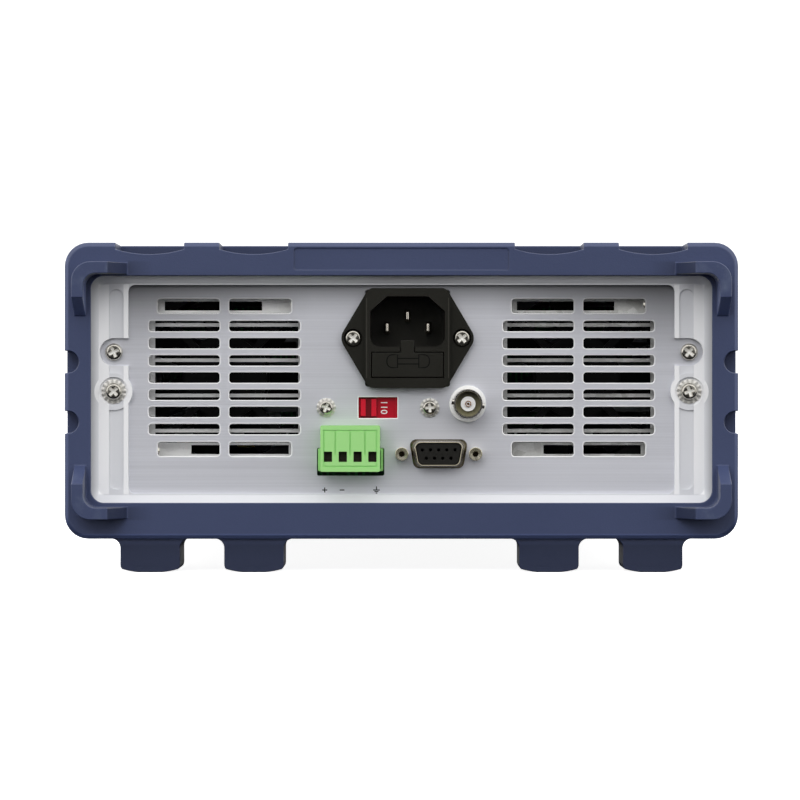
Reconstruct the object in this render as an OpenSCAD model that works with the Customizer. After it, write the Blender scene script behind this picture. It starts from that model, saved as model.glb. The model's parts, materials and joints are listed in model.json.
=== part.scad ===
// DC electronic load, bench instrument, half rack width, two units high.
// Millimetres. X is the width, Y the depth with the rear at plus Y, Z is up.
// The origin lies under the middle of the bounding box, on the plane of the feet.

/* [Case] */
// Outer width of the steel case
case_w = 214.5; // [205:0.5:230]
// Outer height of the steel case
case_h = 88.2; // [86:0.2:96]
// Distance from the front panel face to the rear panel face
panel_gap = 330; // [300:1:400]
// Outer bend radius of the case edges
case_r = 3; // [2.5:0.5:4]
// Sheet thickness of the cover
cover_t = 1; // [0.8:0.1:1.4]
// Sheet thickness of the chassis tray
tray_t = 1.2; // [0.8:0.1:1.6]
// Free space between parts that slip into each other
slip = 0.25; // [0.15:0.05:0.3]

/* [Rubber boots] */
// Wall of the boot at the sides of the case
boot_side = 6.75; // [6.5:0.25:9]
// Wall of the boot above the case
boot_top = 5.6; // [5.4:0.2:8]
// Wall of the boot below the case
boot_under = 6.5; // [5.4:0.1:8]
// Length of the boot forward of the panel face
boot_back = 41; // [34:1:60]
// Level of the outer rim of the bezels above the panel face
bezel_rim = 4.2; // [3.6:0.1:5]
// Thickness of the boot lip over the bezel rim
boot_lip = 2.1; // [1.6:0.1:4]
// Overlap of the boot lip over the case at the sides
lip_side = 2.15; // [1.6:0.05:3]
// Overlap of the boot lip over the case above and below
lip_top = 5.7; // [5:0.1:6]
// Outer corner radius of the boot
boot_r = 8; // [6:0.5:10]
// Chamfer around the outer edge of the boot
boot_chamfer = 1.3; // [0.8:0.1:2]
// Height of the feet under the boot
foot_h = 11.4; // [8:0.2:16]
// Width of one foot
foot_w = 20.2; // [16:0.2:22]
// Length of one foot along the depth
foot_len = 24; // [16:1:30]
// Distance of the inner feet from the middle
foot_inner = 50; // [46:0.5:54]
// Distance between an inner and an outer foot
foot_step = 35.2; // [31:0.2:38]
// Height of the corner pads above the boot face
pad_h = 12; // [8:0.5:16]
// Length of the flat top of a pad arm
pad_flat = 12; // [8:0.5:16]
// Length of the ramp at the end of a pad arm
pad_ramp = 6; // [4:0.5:8]
// Radius of the grip notches in the sides of the boot
grip_r = 3.76; // [3:0.02:4.4]

/* [Rear panel] */
// Thickness of the rear panel
panel_t = 1.5; // [1:0.1:2]
// Width of the bezel bars left and right of the visible panel
bar_side = 14.5; // [14:0.1:16]
// Height of the bezel bars above and below the visible panel
bar_top = 8.6; // [8.2:0.1:9.4]
// Level of the flat side bars of the bezel above the panel
bar_level = 1.8; // [1.2:0.1:2.4]
// Distance of the vent groups and fans from the middle
vent_u = 60.2; // [59:0.2:61]
// Height of the vent groups and fans above the middle of the case
vent_v = 4; // [2:0.2:5]
// Pitch of the vent rows
vent_pitch = 5.84; // [5.4:0.02:6.2]
// Height of one vent slot
vent_slot = 3.64; // [2.8:0.02:4.2]
// Width of one vent slot
vent_w = 24.15; // [20:0.05:25]

/* [Fans] */
// Side of the square fan frame
fan_size = 60; // [58:0.5:60]
// Thickness of the fan
fan_t = 25; // [20:1:30]
// Distance between the fan screw holes
fan_holes = 50; // [49:0.5:51]
// Distance from the rear panel to the fan bracket
bracket_gap = 5; // [4:0.5:7]

/* [Mains inlet] */
// Distance of the inlet from the middle
inlet_u = 2.07; // [0:0.01:4]
// Height of the inlet above the middle of the case
inlet_v = 17.4; // [16:0.1:18]
// Distance between the inlet screws
inlet_screws = 37; // [36:0.5:40]
// Width of the socket recess
socket_w = 25.3; // [24.5:0.1:25.5]
// Height of the socket recess
socket_h = 17.1; // [16.5:0.1:17.4]

/* [Rear connectors] */
// Distance between the two selector screws
selector_screws = 35.2; // [33:0.2:37]
// Pitch of the terminals
terminal_pitch = 5; // [4.8:0.02:5.08]
// Distance between the jack screws of the nine pole socket
jack_pitch = 25; // [24.9:0.1:25.4]
// Bore radius of the jack screws
jack_bore_r = 1.3; // [1.2:0.05:1.4]
// Radius of the coaxial jack shell
coax_r = 4.8; // [4.6:0.05:5]

/* [Front panel] */
// Thickness of the front panel
front_t = 3; // [2.5:0.1:3.5]
// Width of the display window
display_w = 84; // [76:0.5:86]
// Height of the display window
display_h = 36; // [30:0.5:37]
// Width of a key
key_w = 10.4; // [9:0.1:11]
// Height of a key
key_h = 7.9; // [7:0.1:9]
// Free travel of a key
key_travel = 0.8; // [0.6:0.1:0.9]
// Side of the square power button
power_w = 12.8; // [11:0.1:13]
// Outer radius of the knob
knob_r = 16; // [14:0.5:17]
// Radius of the encoder shaft
shaft_r = 3; // [2.5:0.1:3.2]
// Distance between the binding posts
post_pitch = 26; // [24:0.2:27]
// Radius of the plug bore in a binding post
post_bore_r = 2.05; // [2:0.01:2.1]
// Depth of the plug bore in a binding post
post_bore = 14; // [12:0.5:18]
// Radius of the stud of a binding post
stud_r = 3.1; // [3:0.1:3.5]

/* [Hidden] */
$fn = 48;
thin = 0.02;
run = 0.05;
soft_gap = 0.2;
digits = ["1", "2", "3", "4", "5", "6", "7", "8", "9", "0", "point", "enter"];
key_names = [for (d = digits) str("key_", d)];

// Levels along the depth, measured out of a panel face
boot_face = bezel_rim + soft_gap + boot_lip;
pad_top = boot_face + pad_h;
collar_h = 3;
washer_t = 1;
cap_len = 20;
cap_base = collar_h + washer_t + 0.1;
post_top = cap_base + cap_len;
rear_y = (panel_gap + post_top - pad_top) / 2;
front_y = rear_y - panel_gap;

// Boot and feet
boot_w = case_w + 2 * boot_side;
boot_h = case_h + boot_top + boot_under;
boot_mid = (boot_top - boot_under) / 2;
mid_z = foot_h + boot_h / 2 - boot_mid;
boot_open_w = case_w - 2 * lip_side;
boot_open_h = case_h - 2 * lip_top;
pocket_w = case_w + 2 * soft_gap;
pocket_h = case_h + 2 * soft_gap;
foot_back = 3;
foot_root_r = 3.2;
foot_edge_r = 2.7;
sole_r = 36;
sole_flat = 0.22;
stack_w = foot_w + 3;
stack_edge = 2.3;
stack_deep = 4;
stack_r = (pow(stack_w / 2, 2) + pow(stack_deep - stack_edge, 2)) / (2 * (stack_deep - stack_edge));
grip_v = 10.2;
grip_mid = 2 * boot_mid;
grip_deep = 10;
pad_side_inset = 3.4;
pad_top_inset = 6.9;
pad_arm = 3.9;
pad_outer_w = boot_w - 2 * pad_side_inset;
pad_outer_h = boot_h - 2 * pad_top_inset;
pad_r = 6.4;
pad_inner_r = 4.3;
plaque_w = 72.6;
plaque_h = 7.4;

// Bezel and rear panel
rebate = 3;
skirt = 6.2;
rebate_w = case_w - 2 * (cover_t + slip);
rebate_h = case_h - 2 * (cover_t + slip);
open_w = case_w - 2 * bar_side;
open_h = case_h - 2 * bar_top;
slope_top_w = boot_open_w + 0.3;
slope_top_h = boot_open_h + 0.3;
slope_low_w = boot_open_w - 4.6;
slope_low_h = open_h + 0.8;
panel_w = case_w - 8.5;
panel_h = case_h - 8.2;
screw_u = case_w / 2 - 9.5;
upper_screw_v = 12.7;
lower_screw_v = -0.7;
boss_r = 6.4;
notch_r = 4.7;
well_r = 4.9;
well_floor = 0.8;
m3_r = 1.5;
m3_hole = m3_r + 0.2;
head_r = 2.9;
head_h = 1.9;

// Vents, bracket and fans
vent_gap = 3.2;
vent_r = 1.1;
tall_slot = 4.9;
tall_off = 24.3;
tall_cut = 3;
bracket_t = 1;
bracket_w = panel_w - 10;
bracket_h = panel_h - 6;
bracket_back = panel_t + bracket_gap + bracket_t;
window_w = 49;
window_pitch = 12.05;
window_bar = 1.2;
window_tab = 12.4;
window_shift = 0.45;
edge_window = 3.1;
edge_half = 21.2;
edge_off = 24.55;
edge_bar = 0.85;
middle_w = 62.4;
middle_lift = 2.2;
middle_rim = 8.6;
inlet_room = 1.2;
fan_bore_r = fan_size / 2 - 1.2;
fan_hole_r = 2.15;
fan_screw_r = 1.9;
fan_head_r = 2.6;
fan_head_h = 1.9;
hub_r = 15;
hub_wall = 2;
fan_shaft_r = 1.5;
fan_tube_r = 3.5;
fan_front = bracket_back + fan_t;

// Tray and boards
floor_low = -case_h / 2 + cover_t;
floor_top = floor_low + tray_t;
tray_w = case_w - 2 * cover_t - 2 * slip;
tray_flange = 14;
tray_start = 14.2;
tray_wall_top = -bracket_h / 2 + 6;
cover_lip = 8;
cover_screw_v = -case_h / 2 + 9;
cover_screw_front = 58;
cover_screw_rear = 86;
board_t = 1.6;
standoff_h = 7.9;
standoff_r = 3;
board_low = floor_top + standoff_h;
board_top = board_low + board_t;
power_w_board = 188;
power_len = 180;
power_rear = fan_front + 9;
sink_len = 150;
sink_inner = 31;
sink_base = 6;
sink_outer = 91;
sink_fins = 9;
sink_top = 35;
fin_t = 1.8;
xfmr_back = 262;
device_t = 5;
device_h = 21;
device_w = 16;
device_v = 22;
device_first = 30;
device_pitch = 45;
lead_len = 12;
lead_pitch = 5.4;

// Inlet
inlet_w = 28.9;
inlet_h = 33.9;
inlet_tip = 44.9;
inlet_tip_r = 4.6;
inlet_r = 3;
socket_r = 3.4;
ear_t = 2.6;
inlet_t = 4.4;
inlet_body_h = inlet_h - 1.4;
inlet_body_w = inlet_w - 0.5;
inlet_depth = 31;
socket_v = 5.6;
socket_depth = 16.4;
pin_len = 12;
pin_w = 2;
pin_h = 4;
pin_tip = 1.6;
pin_taper = 1.1;
pin_u = 7;
pin_v = 2;
drawer_v = -9.1;
drawer_w = 24.7;
drawer_h = 8.9;
drawer_len = 26;
drawer_tab_w = 4.6;
drawer_tab_h = 4;
drawer_tab_t = 3;
fuse_r = 2.6;
fuse_len = 20;
cap_screw_head_h = 1.4;

// Selector
selector_u = -8;
selector_v = -6.2;
selector_w = 13.1;
selector_h = 7;
selector_sink = 0.4;
selector_plate = 1;
selector_depth = 12;
selector_gap = 0.1;
well_w = selector_w - 1;
well_h = selector_h + 1.4;
well_depth = 0.8;
slider_w = 5.4;
slider_groove = 1.9;
slider_cut = 0.7;
slider_end = 0.15;
slider_travel = well_w - slider_w - 2 * slider_end;
slider_h = selector_h - 1.2;
slider_base = well_depth - 2 * run;

// Terminal block
terminals = 4;
terminal_u = -17.3;
terminal_v = -23.9;
header_w = terminals * terminal_pitch + 2.1;
header_h = 7.7;
header_front = 0.4;
header_gap = 0.4;
header_drop = 0.7;
board_back = 13;
small_w = 58;
small_low = terminal_v - 7.1;
small_high = terminal_v + 11.9;
header_wall = 0.75;
cavity_w = header_w - 2 * header_wall;
cavity_h = header_h - 2 * header_wall;
cavity_floor = 9;
plug_w = terminals * terminal_pitch + 0.1;
plug_h = 15.6;
plug_v = 3.9;
plug_front = 10;
plug_back = 0.8;
plug_tongue = 8;
wire_w = 2.8;
wire_h = 3.5;
wire_v = 1.15;
clamp_r = 1.8;
clamp_w = 5.4;
clamp_h = 4;
pole_w = 1;

// Nine pole socket
dsub_u = 12.6;
dsub_v = -21.9;
dsub_flange_w = 30.8;
dsub_flange_h = 12.5;
dsub_flange_t = 0.8;
flare_w = 19.3;
flare_h = 9.8;
flare_t = 0.4;
shell_w = 16.4;
shell_h = 8.3;
shell_wall = 0.5;
shell_front = 5.8;
jack_r = 2.3;
jack_len = 5;
jack_stud_r = 1.5;

// Coaxial jack
coax_u = 22.5;
coax_v = -4.9;
coax_collar_r = 6.25;
coax_collar_h = 2.2;
coax_front = 11;
coax_tail = 8;
coax_wall = 0.6;
coax_floor = 1.5;
coax_core_r = 2.5;

// Front
flat_d = 8.4;
front_wall = 2.5;
front_half = slope_low_w / 2;
front_top = slope_low_h / 2;
front_in_h = rebate_h / 2 - front_wall;
key_step_u = 14;
key_step_v = 13;
front_spare = slope_low_w - display_w - 3 * key_step_u - key_w - 2 * knob_r;
wide_gap = front_spare * 22 / 93;
knob_gap = front_spare * 17 / 93;
display_u = wide_gap + display_w / 2 - front_half;
display_v = front_top - 3.9 - display_h / 2;
lens_t = 1.5;
lens_edge = 3;
key_u = display_u + display_w / 2 + wide_gap + key_w / 2;
key_v = display_v + display_h / 2 - 8;
key_front = 2;
key_flange = 1;
key_gap = 0.3;
power_u = 14.8 - front_half;
power_v = 13.9 - front_top;
power_body = 20;
power_front = 4;
power_flange = 1.2;
power_stem = 4;
knob_u = front_half - knob_gap - knob_r;
knob_v = display_v + 2;
knob_base = 2.6;
knob_top = 18;
knob_skirt = 1.6;
knob_skirt_h = 3;
bush_r = shaft_r + 1.5;
nut_r = 7;
nut_h = 2;
collar_r = 9;
post_edge = 1.8;
post_u = front_half - post_edge - collar_r - post_pitch / 2;
post_v = 14.9 - front_top;
stud_back = 18;
stud_nut_r = 6.4;
stud_nut_h = 3;
stud_sink = 1.5;
base_r = 5.2;
cap_r = 8;
front_skirt = 14;
panel_board_half = front_half - 2.8;
panel_board_top = front_in_h - 3.35;
panel_board_mid = -8;
panel_board_low = 3.85 - front_in_h;
lower_left = power_u + 14;
lower_right = post_u - post_pitch / 2 - 14;
switch_w = 6;

// Frames of the two panel faces: x to the right and y up as seen from outside, z out of the face
module at_rear(u = 0, v = 0, w = 0) {
    translate([-u, rear_y + w, mid_z + v]) rotate([90, 0, 180]) children();
}

module at_front(u = 0, v = 0, w = 0) {
    translate([u, front_y - w, mid_z + v]) rotate([90, 0, 0]) children();
}

module rounded_rect(w, h, r) {
    square([w - 2 * r, h], center = true);
    square([w, h - 2 * r], center = true);
    for (x = [-1, 1], y = [-1, 1]) {
        translate([x * (w / 2 - r), y * (h / 2 - r)]) circle(r);
    }
}

module slab(w, h, r, from, to) {
    translate([0, 0, from]) linear_extrude(to - from) rounded_rect(w, h, r);
}

module block(w, h, from, to) {
    translate([-w / 2, -h / 2, from]) cube([w, h, to - from]);
}

module rod(r, from, to) {
    translate([0, 0, from]) cylinder(r = r, h = to - from);
}

// Steel cover: one folded sheet with short lips turned in under the tray
module case_cover() {
    length = panel_gap - 2 * rebate;
    color([0.72, 0.73, 0.74]) at_rear(0, 0, -rebate - length) difference() {
        linear_extrude(length) difference() {
            rounded_rect(case_w, case_h, case_r);
            rounded_rect(case_w - 2 * cover_t, case_h - 2 * cover_t, case_r - cover_t);
            translate([0, -case_h / 2]) square([case_w - 2 * cover_lip, 4 * cover_t], center = true);
        }
        side_slots();
        cover_screw_places() rod(m3_hole, -cover_t - 1, 1);
    }
}

// Air inlet slots in both sides of the cover, towards the front
module side_slots() {
    for (s = [-1, 1], row = [0, 1], i = [0:9]) {
        translate([s * case_w / 2, 2 + row * 20, 62 + 9 * i]) rotate([0, 90, 0])
            slab(3.2, 15, 1.5, -2 * cover_t, 2 * cover_t);
    }
}

// Places of the four cover screws, in the frame of the cover, z out of the side wall
module cover_screw_places() {
    for (s = [-1, 1], y = [cover_screw_front, panel_gap - cover_screw_rear]) {
        translate([s * case_w / 2, cover_screw_v, y]) rotate([0, s * 90, 0]) children();
    }
}

// Chassis tray: floor with side flanges, a low rear wall and board standoffs
module chassis_tray() {
    length = panel_gap - tray_start - bracket_back;
    color([0.66, 0.67, 0.66]) difference() {
        union() {
            at_rear(0, 0, -bracket_back - length) {
                linear_extrude(length) intersection() {
                    difference() {
                        tray_outline(0);
                        tray_outline(tray_t);
                    }
                    translate([-tray_w / 2, floor_low]) square([tray_w, tray_flange]);
                }
            }
            at_rear(0, 0, -bracket_back - tray_t) {
                translate([-bracket_w / 2, floor_low + tray_t / 2, 0])
                    cube([bracket_w, tray_wall_top - floor_low - tray_t / 2, tray_t]);
            }
            standoff_places() rod(standoff_r, floor_top - 0.3, board_low);
        }
        at_rear(0, 0, -panel_gap + rebate) cover_screw_places() rod(m3_hole, -cover_t - tray_t - 1, 1);
        standoff_places() rod(1.2, floor_top + 1, board_low + 1);
    }
}

module tray_outline(inset) {
    r = case_r - cover_t + 1;
    translate([0, floor_low + tray_flange])
        rounded_rect(tray_w - 2 * inset, 2 * tray_flange - 2 * inset, r - inset);
}

// Standoffs under the power board, z up from the middle of the case
module standoff_places() {
    for (x = [-1, 1], y = [0, 1]) {
        translate([x * (power_w_board / 2 - 8), rear_y - power_rear - 8 - y * (power_len - 16), mid_z])
            children();
    }
}

// Galvanised bracket behind the rear panel with a barred window for each fan
module fan_bracket() {
    color([0.7, 0.71, 0.7]) at_rear() difference() {
        union() {
            block(bracket_w, bracket_h, -bracket_back, -bracket_back + bracket_t);
            for (s = [-1, 1]) {
                translate([0, s * (bracket_h - bracket_t) / 2, 0])
                    block(bracket_w, bracket_t, -bracket_back, -panel_t);
            }
        }
        translate([0, middle_lift, 0])
            block(middle_w, bracket_h - middle_rim, -bracket_back - 1, -bracket_back + bracket_t + 1);
        translate([inlet_u, inlet_v, 0])
            block(inlet_body_w + 2 * inlet_room, inlet_body_h + 2 * inlet_room, -bracket_back - 1, 0);
        for (s = [-1, 1]) {
            translate([s * vent_u, vent_v, 0]) {
                translate([window_shift, 0, 0]) fan_windows();
                fan_screw_places() rod(fan_screw_r + 0.2, -bracket_back - 1, 0);
            }
        }
    }
}

// Openings in front of one fan: three tall rows, then a short and a low one above and below
module fan_windows() {
    half = window_w / 2;
    open = (window_pitch - window_bar) / 2;
    edge_low = edge_off - edge_window / 2;
    for (k = [-1:1]) {
        bracket_window(-half, half, k * window_pitch - open, k * window_pitch + open);
    }
    for (a = [0, 180]) {
        rotate([0, 0, a]) {
            bracket_window(-half, half, 2 * window_pitch - open, edge_low - edge_bar);
            bracket_window(-edge_half, half - window_tab, edge_low, edge_low + edge_window);
        }
    }
}

module bracket_window(left, right, low, high) {
    translate([left, low, -bracket_back - 1]) cube([right - left, high - low, bracket_t + 2]);
}

module fan_screw_places() {
    for (s = [-1, 1]) {
        translate([s * fan_holes / 2, s * fan_holes / 2, 0]) children();
    }
}

// Brushed rear panel with its vents and connector cut-outs
module rear_panel() {
    color([0.75, 0.75, 0.74]) at_rear() difference() {
        slab(panel_w, panel_h, 1, -panel_t, 0);
        for (s = [-1, 1]) {
            translate([s * vent_u, vent_v, 0]) vent_group();
            translate([s * screw_u, upper_screw_v, 0]) panel_hole(m3_hole);
            translate([s * screw_u, lower_screw_v, 0]) panel_hole(m3_hole);
        }
        translate([inlet_u, inlet_v, 0]) {
            slab(inlet_body_w + 2 * slip, inlet_body_h + 2 * slip, 1, -panel_t - 1, 1);
            for (s = [-1, 1]) {
                translate([s * inlet_screws / 2, 0, 0]) panel_hole(m3_hole);
            }
        }
        translate([selector_u, selector_v, 0]) {
            block(selector_w + 2 * selector_gap, selector_h + 2 * selector_gap, -panel_t - 1, 1);
            for (s = [-1, 1]) {
                translate([s * selector_screws / 2, 0, 0]) panel_hole(m3_hole);
            }
        }
        translate([terminal_u, terminal_v - header_drop, 0])
            slab(header_w + 2 * header_gap, header_h + 2 * header_drop + header_gap, 0.6, -panel_t - 1, 1);
        translate([dsub_u, dsub_v, 0]) {
            translate([0, 0, -panel_t - 1]) linear_extrude(panel_t + 2)
                d_shape(flare_w + 2 * run, flare_h + 2 * run, 2.2);
            for (s = [-1, 1]) {
                translate([s * jack_pitch / 2, 0, 0]) panel_hole(jack_stud_r + 0.1);
            }
        }
        translate([coax_u, coax_v, 0]) panel_hole(coax_r + run);
    }
}

module panel_hole(r) {
    rod(r, -panel_t - 1, 1);
}

module vent_group() {
    for (s = [-1, 1]) {
        translate([s * (vent_w + vent_gap) / 2, 0, 0]) {
            for (k = [-3:3]) {
                translate([0, k * vent_pitch, 0]) slab(vent_w, vent_slot, vent_r, -panel_t - 1, 1);
            }
        }
        for (t = [-1, 1]) {
            translate([s * (vent_w - tall_cut + vent_gap) / 2, t * tall_off, 0])
                slab(vent_w - tall_cut, tall_slot, vent_r, -panel_t - 1, 1);
        }
    }
}

// Light grey frame around the rear panel, with screw wells in its side bars
module rear_bezel() {
    color([0.84, 0.84, 0.85]) at_rear() difference() {
        union() {
            difference() {
                union() {
                    slab(case_w, case_h, case_r, -rebate, bezel_rim);
                    slab(rebate_w, rebate_h, case_r - cover_t, -skirt, -rebate + thin);
                }
                slab(panel_w + 2 * slip, panel_h + 2 * slip, 1, -skirt - 1, 0);
                slab(open_w, open_h, 2.3, -1, bezel_rim + 1);
                bezel_slope(bar_level);
                for (s = [-1, 1]) {
                    translate([s * (open_w / 2 + 4.05), 0, 0])
                        slab(4.9, open_h - 3, 2.4, bar_level - 0.7, bezel_rim + 1);
                }
            }
            for (s = [-1, 1]) {
                translate([s * screw_u, lower_screw_v, 0]) rod(boss_r, 0, bar_level);
            }
        }
        for (s = [-1, 1]) {
            translate([s * screw_u, upper_screw_v, 0]) {
                rod(notch_r, -1, bezel_rim + 1);
                translate([-s * boss_r, 0, 0]) block(2 * boss_r, 2 * notch_r, -1, bezel_rim + 1);
            }
            translate([s * screw_u, lower_screw_v, 0]) {
                rod(well_r, well_floor, bezel_rim + 1);
                rod(m3_hole, -1, bezel_rim + 1);
            }
        }
    }
}

// Tapered cut from the outer rim of a bezel down to the given level
module bezel_slope(level) {
    hull() {
        slab(slope_low_w, slope_low_h, 2.6, level, level + thin, $fn = 32);
        slab(slope_top_w, slope_top_h, 4.4, bezel_rim, bezel_rim + 0.2, $fn = 32);
    }
}

// Rubber boot that slips over one end of the case
module boot() {
    difference() {
        union() {
            translate([0, boot_mid, 0]) {
                hull() {
                    slab(boot_w - 2, boot_h - 2, boot_r - 1, -boot_back, -boot_back + thin, $fn = 32);
                    slab(boot_w, boot_h, boot_r, -boot_back + 1, boot_face - boot_chamfer, $fn = 32);
                    slab(boot_w - 2 * boot_chamfer, boot_h - 2 * boot_chamfer, boot_r - boot_chamfer,
                        boot_face - thin, boot_face, $fn = 32);
                }
                corner_pads();
            }
            foot_places() translate([0, 0, boot_face - foot_back - foot_len])
                linear_extrude(foot_len) foot_profile();
        }
        slab(pocket_w, pocket_h, case_r + soft_gap, -boot_back - 1, bezel_rim + soft_gap);
        slab(boot_open_w, boot_open_h, 4.4, 0, boot_face + 1);
        stack_notches();
        for (s = [-1, 1], t = [-1, 1]) {
            translate([s * (boot_w / 2 - 1.09), grip_mid + t * grip_v, 0]) {
                rod(grip_r, boot_face - grip_deep, boot_face + 1);
                translate([s * grip_r, 0, 0])
                    block(2 * grip_r, 2 * grip_r, boot_face - grip_deep, boot_face + 1);
            }
        }
        translate([0, boot_mid / 2 + (boot_h + boot_open_h) / 4, 0])
            slab(plaque_w, plaque_h, 1, boot_face - 0.5, boot_face + 1);
    }
}

module foot_places() {
    for (s = [-1, 1], k = [0, 1]) {
        translate([s * (foot_inner + k * foot_step), boot_mid - boot_h / 2, 0]) children();
    }
}

// Foot cross section: filleted root, convex sole with a flat strip on the ground
module foot_profile() {
    intersection() {
        rounded_rect(foot_w, 2 * foot_h, foot_edge_r);
        translate([0, -foot_h - sole_flat + sole_r]) circle(sole_r, $fn = 180);
        translate([0, -foot_h / 2 + 0.75]) square([foot_w, foot_h + 1.5], center = true);
    }
    for (s = [-1, 1]) {
        translate([s * (foot_w / 2 + foot_root_r / 2 - 0.1), -foot_root_r / 2 + 0.4]) difference() {
            square([foot_root_r + 0.2, foot_root_r + 0.8], center = true);
            translate([s * (foot_root_r / 2 + 0.1), -foot_root_r / 2 - 0.4]) circle(foot_root_r);
        }
    }
}

// Hollows in the top of the boot that take the feet of an instrument stacked above
module stack_notches() {
    for (s = [-1, 1], k = [0, 1]) {
        translate([s * (foot_inner + k * foot_step), boot_mid + boot_h / 2, boot_face - foot_back - foot_len])
            linear_extrude(foot_len + foot_back + 1) intersection() {
                square([stack_w, 2 * stack_deep], center = true);
                translate([0, stack_r - stack_deep]) circle(stack_r, $fn = 180);
            }
    }
}

// L shaped corner pads that protect the controls and connectors, with ramped ends
module corner_pads() {
    flat_u = pad_outer_w / 2 - pad_flat;
    flat_v = pad_outer_h / 2 - pad_flat;
    difference() {
        translate([0, 0, boot_face - 1]) linear_extrude(pad_h + 1) difference() {
            rounded_rect(pad_outer_w, pad_outer_h, pad_r);
            rounded_rect(pad_outer_w - 2 * pad_arm, pad_outer_h - 2 * pad_arm, pad_inner_r);
        }
        translate([0, boot_h, 0]) rotate([90, 0, 0]) linear_extrude(2 * boot_h) ramp_gap(flat_u);
        translate([-boot_w, 0, 0]) rotate([90, 0, 90]) linear_extrude(2 * boot_w) ramp_gap(flat_v);
    }
}

// Gap between two pads: x along the edge of the boot, y out of its face
module ramp_gap(half) {
    slope = pad_ramp / pad_h;
    polygon([
        [-half + pad_ramp, boot_face], [-half + pad_ramp + 1, boot_face - 2],
        [half - pad_ramp - 1, boot_face - 2], [half - pad_ramp, boot_face],
        [half + slope, pad_top + 1], [-half - slope, pad_top + 1]
    ]);
}

module rear_boot() {
    color([0.22, 0.26, 0.38]) at_rear() boot();
}

module front_boot() {
    color([0.22, 0.26, 0.38]) at_front() boot();
}

// Fan frame with its motor base at the rear, z out of the rear face
module fan_frame() {
    difference() {
        slab(fan_size, fan_size, 4, -fan_t, 0);
        rod(fan_bore_r, -fan_t - 1, 1);
        for (x = [-1, 1], y = [-1, 1]) {
            translate([x * fan_holes / 2, y * fan_holes / 2, 0]) rod(fan_hole_r, -fan_t - 1, 1);
        }
    }
    difference() {
        union() {
            rod(hub_r - hub_wall / 2, -3, 0);
            rod(fan_tube_r, -fan_t + 8, -1);
            for (a = [45:90:315]) {
                rotate([0, 0, a]) translate([hub_r - 3, -1.2, -3]) cube([fan_bore_r - hub_r + 4, 2.4, 3]);
            }
        }
        rod(fan_shaft_r + run, -fan_t, -1);
    }
}

// Fan rotor: hub cup, shaft and seven blades
module fan_rotor() {
    tip_r = fan_bore_r - 0.6;
    difference() {
        rod(hub_r, -fan_t + 3, -4);
        rod(hub_r - hub_wall, -fan_t + 5, -3);
    }
    rod(fan_shaft_r, -fan_t + 4, -3.4);
    intersection() {
        for (i = [0:6]) {
            rotate([0, 0, i * 360 / 7]) translate([hub_r - 1.8, -7, -13])
                rotate([40, 0, 0]) translate([0, 0, -0.7]) cube([tip_r - hub_r + 3, 13, 1.4]);
        }
        difference() {
            rod(tip_r, -fan_t + 2, -3.4);
            rod(hub_r - 1, -fan_t + 1, -3);
        }
    }
}

module fan_place(s) {
    at_rear(s * vent_u, vent_v, -bracket_back) children();
}

module fan_frame_left() {
    color([0.08, 0.08, 0.09]) fan_place(-1) fan_frame();
}

module fan_frame_right() {
    color([0.08, 0.08, 0.09]) fan_place(1) fan_frame();
}

module fan_rotor_left() {
    color([0.12, 0.12, 0.13]) fan_place(-1) fan_rotor();
}

module fan_rotor_right() {
    color([0.12, 0.12, 0.13]) fan_place(1) fan_rotor();
}

// Pan head screw with a cross recess, z out of the seat, shank below it
module screw(r, h, shank_r, shank, wash_r = 0, wash_t = 0) {
    dome = 2.2 * r;
    difference() {
        translate([0, 0, wash_t]) intersection() {
            rod(r, 0, h);
            translate([0, 0, h - dome]) sphere(dome);
        }
        for (a = [0, 90]) {
            rotate([0, 0, a]) block(1.1 * r, 0.32 * r, wash_t + 0.45 * h, wash_t + h + 1);
        }
    }
    rod(shank_r, -shank, wash_t + 0.1);
    if (wash_t > 0) {
        rod(wash_r, 0, wash_t);
    }
}

// Fan screws through the bracket and cover screws in the sides
module chassis_screws() {
    color([0.6, 0.6, 0.6]) {
        for (s = [-1, 1]) {
            fan_place(s) translate([0, 0, bracket_t])
                fan_screw_places() screw(fan_head_r, fan_head_h, fan_screw_r, fan_t);
        }
        at_rear(0, 0, -panel_gap + rebate) cover_screw_places() screw(head_r, head_h, m3_r, 6);
    }
}

// Screws of the bezel, the inlet and the selector
module rear_screws() {
    color([0.7, 0.7, 0.7]) at_rear() {
        for (s = [-1, 1]) {
            translate([s * screw_u, upper_screw_v, 0]) screw(head_r, head_h, m3_r, bracket_gap);
            translate([s * screw_u, lower_screw_v, well_floor])
                screw(head_r, head_h, m3_r, bracket_gap, 4.2, 0.7);
            translate([inlet_u + s * inlet_screws / 2, inlet_v, ear_t - cap_screw_head_h - 0.2])
                screw(head_r, cap_screw_head_h, m3_r, bracket_gap);
            translate([selector_u + s * selector_screws / 2, selector_v, 0])
                screw(2.5, 1.7, m3_r, bracket_gap - 0.5, 3.3, 0.6);
        }
    }
}

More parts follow.
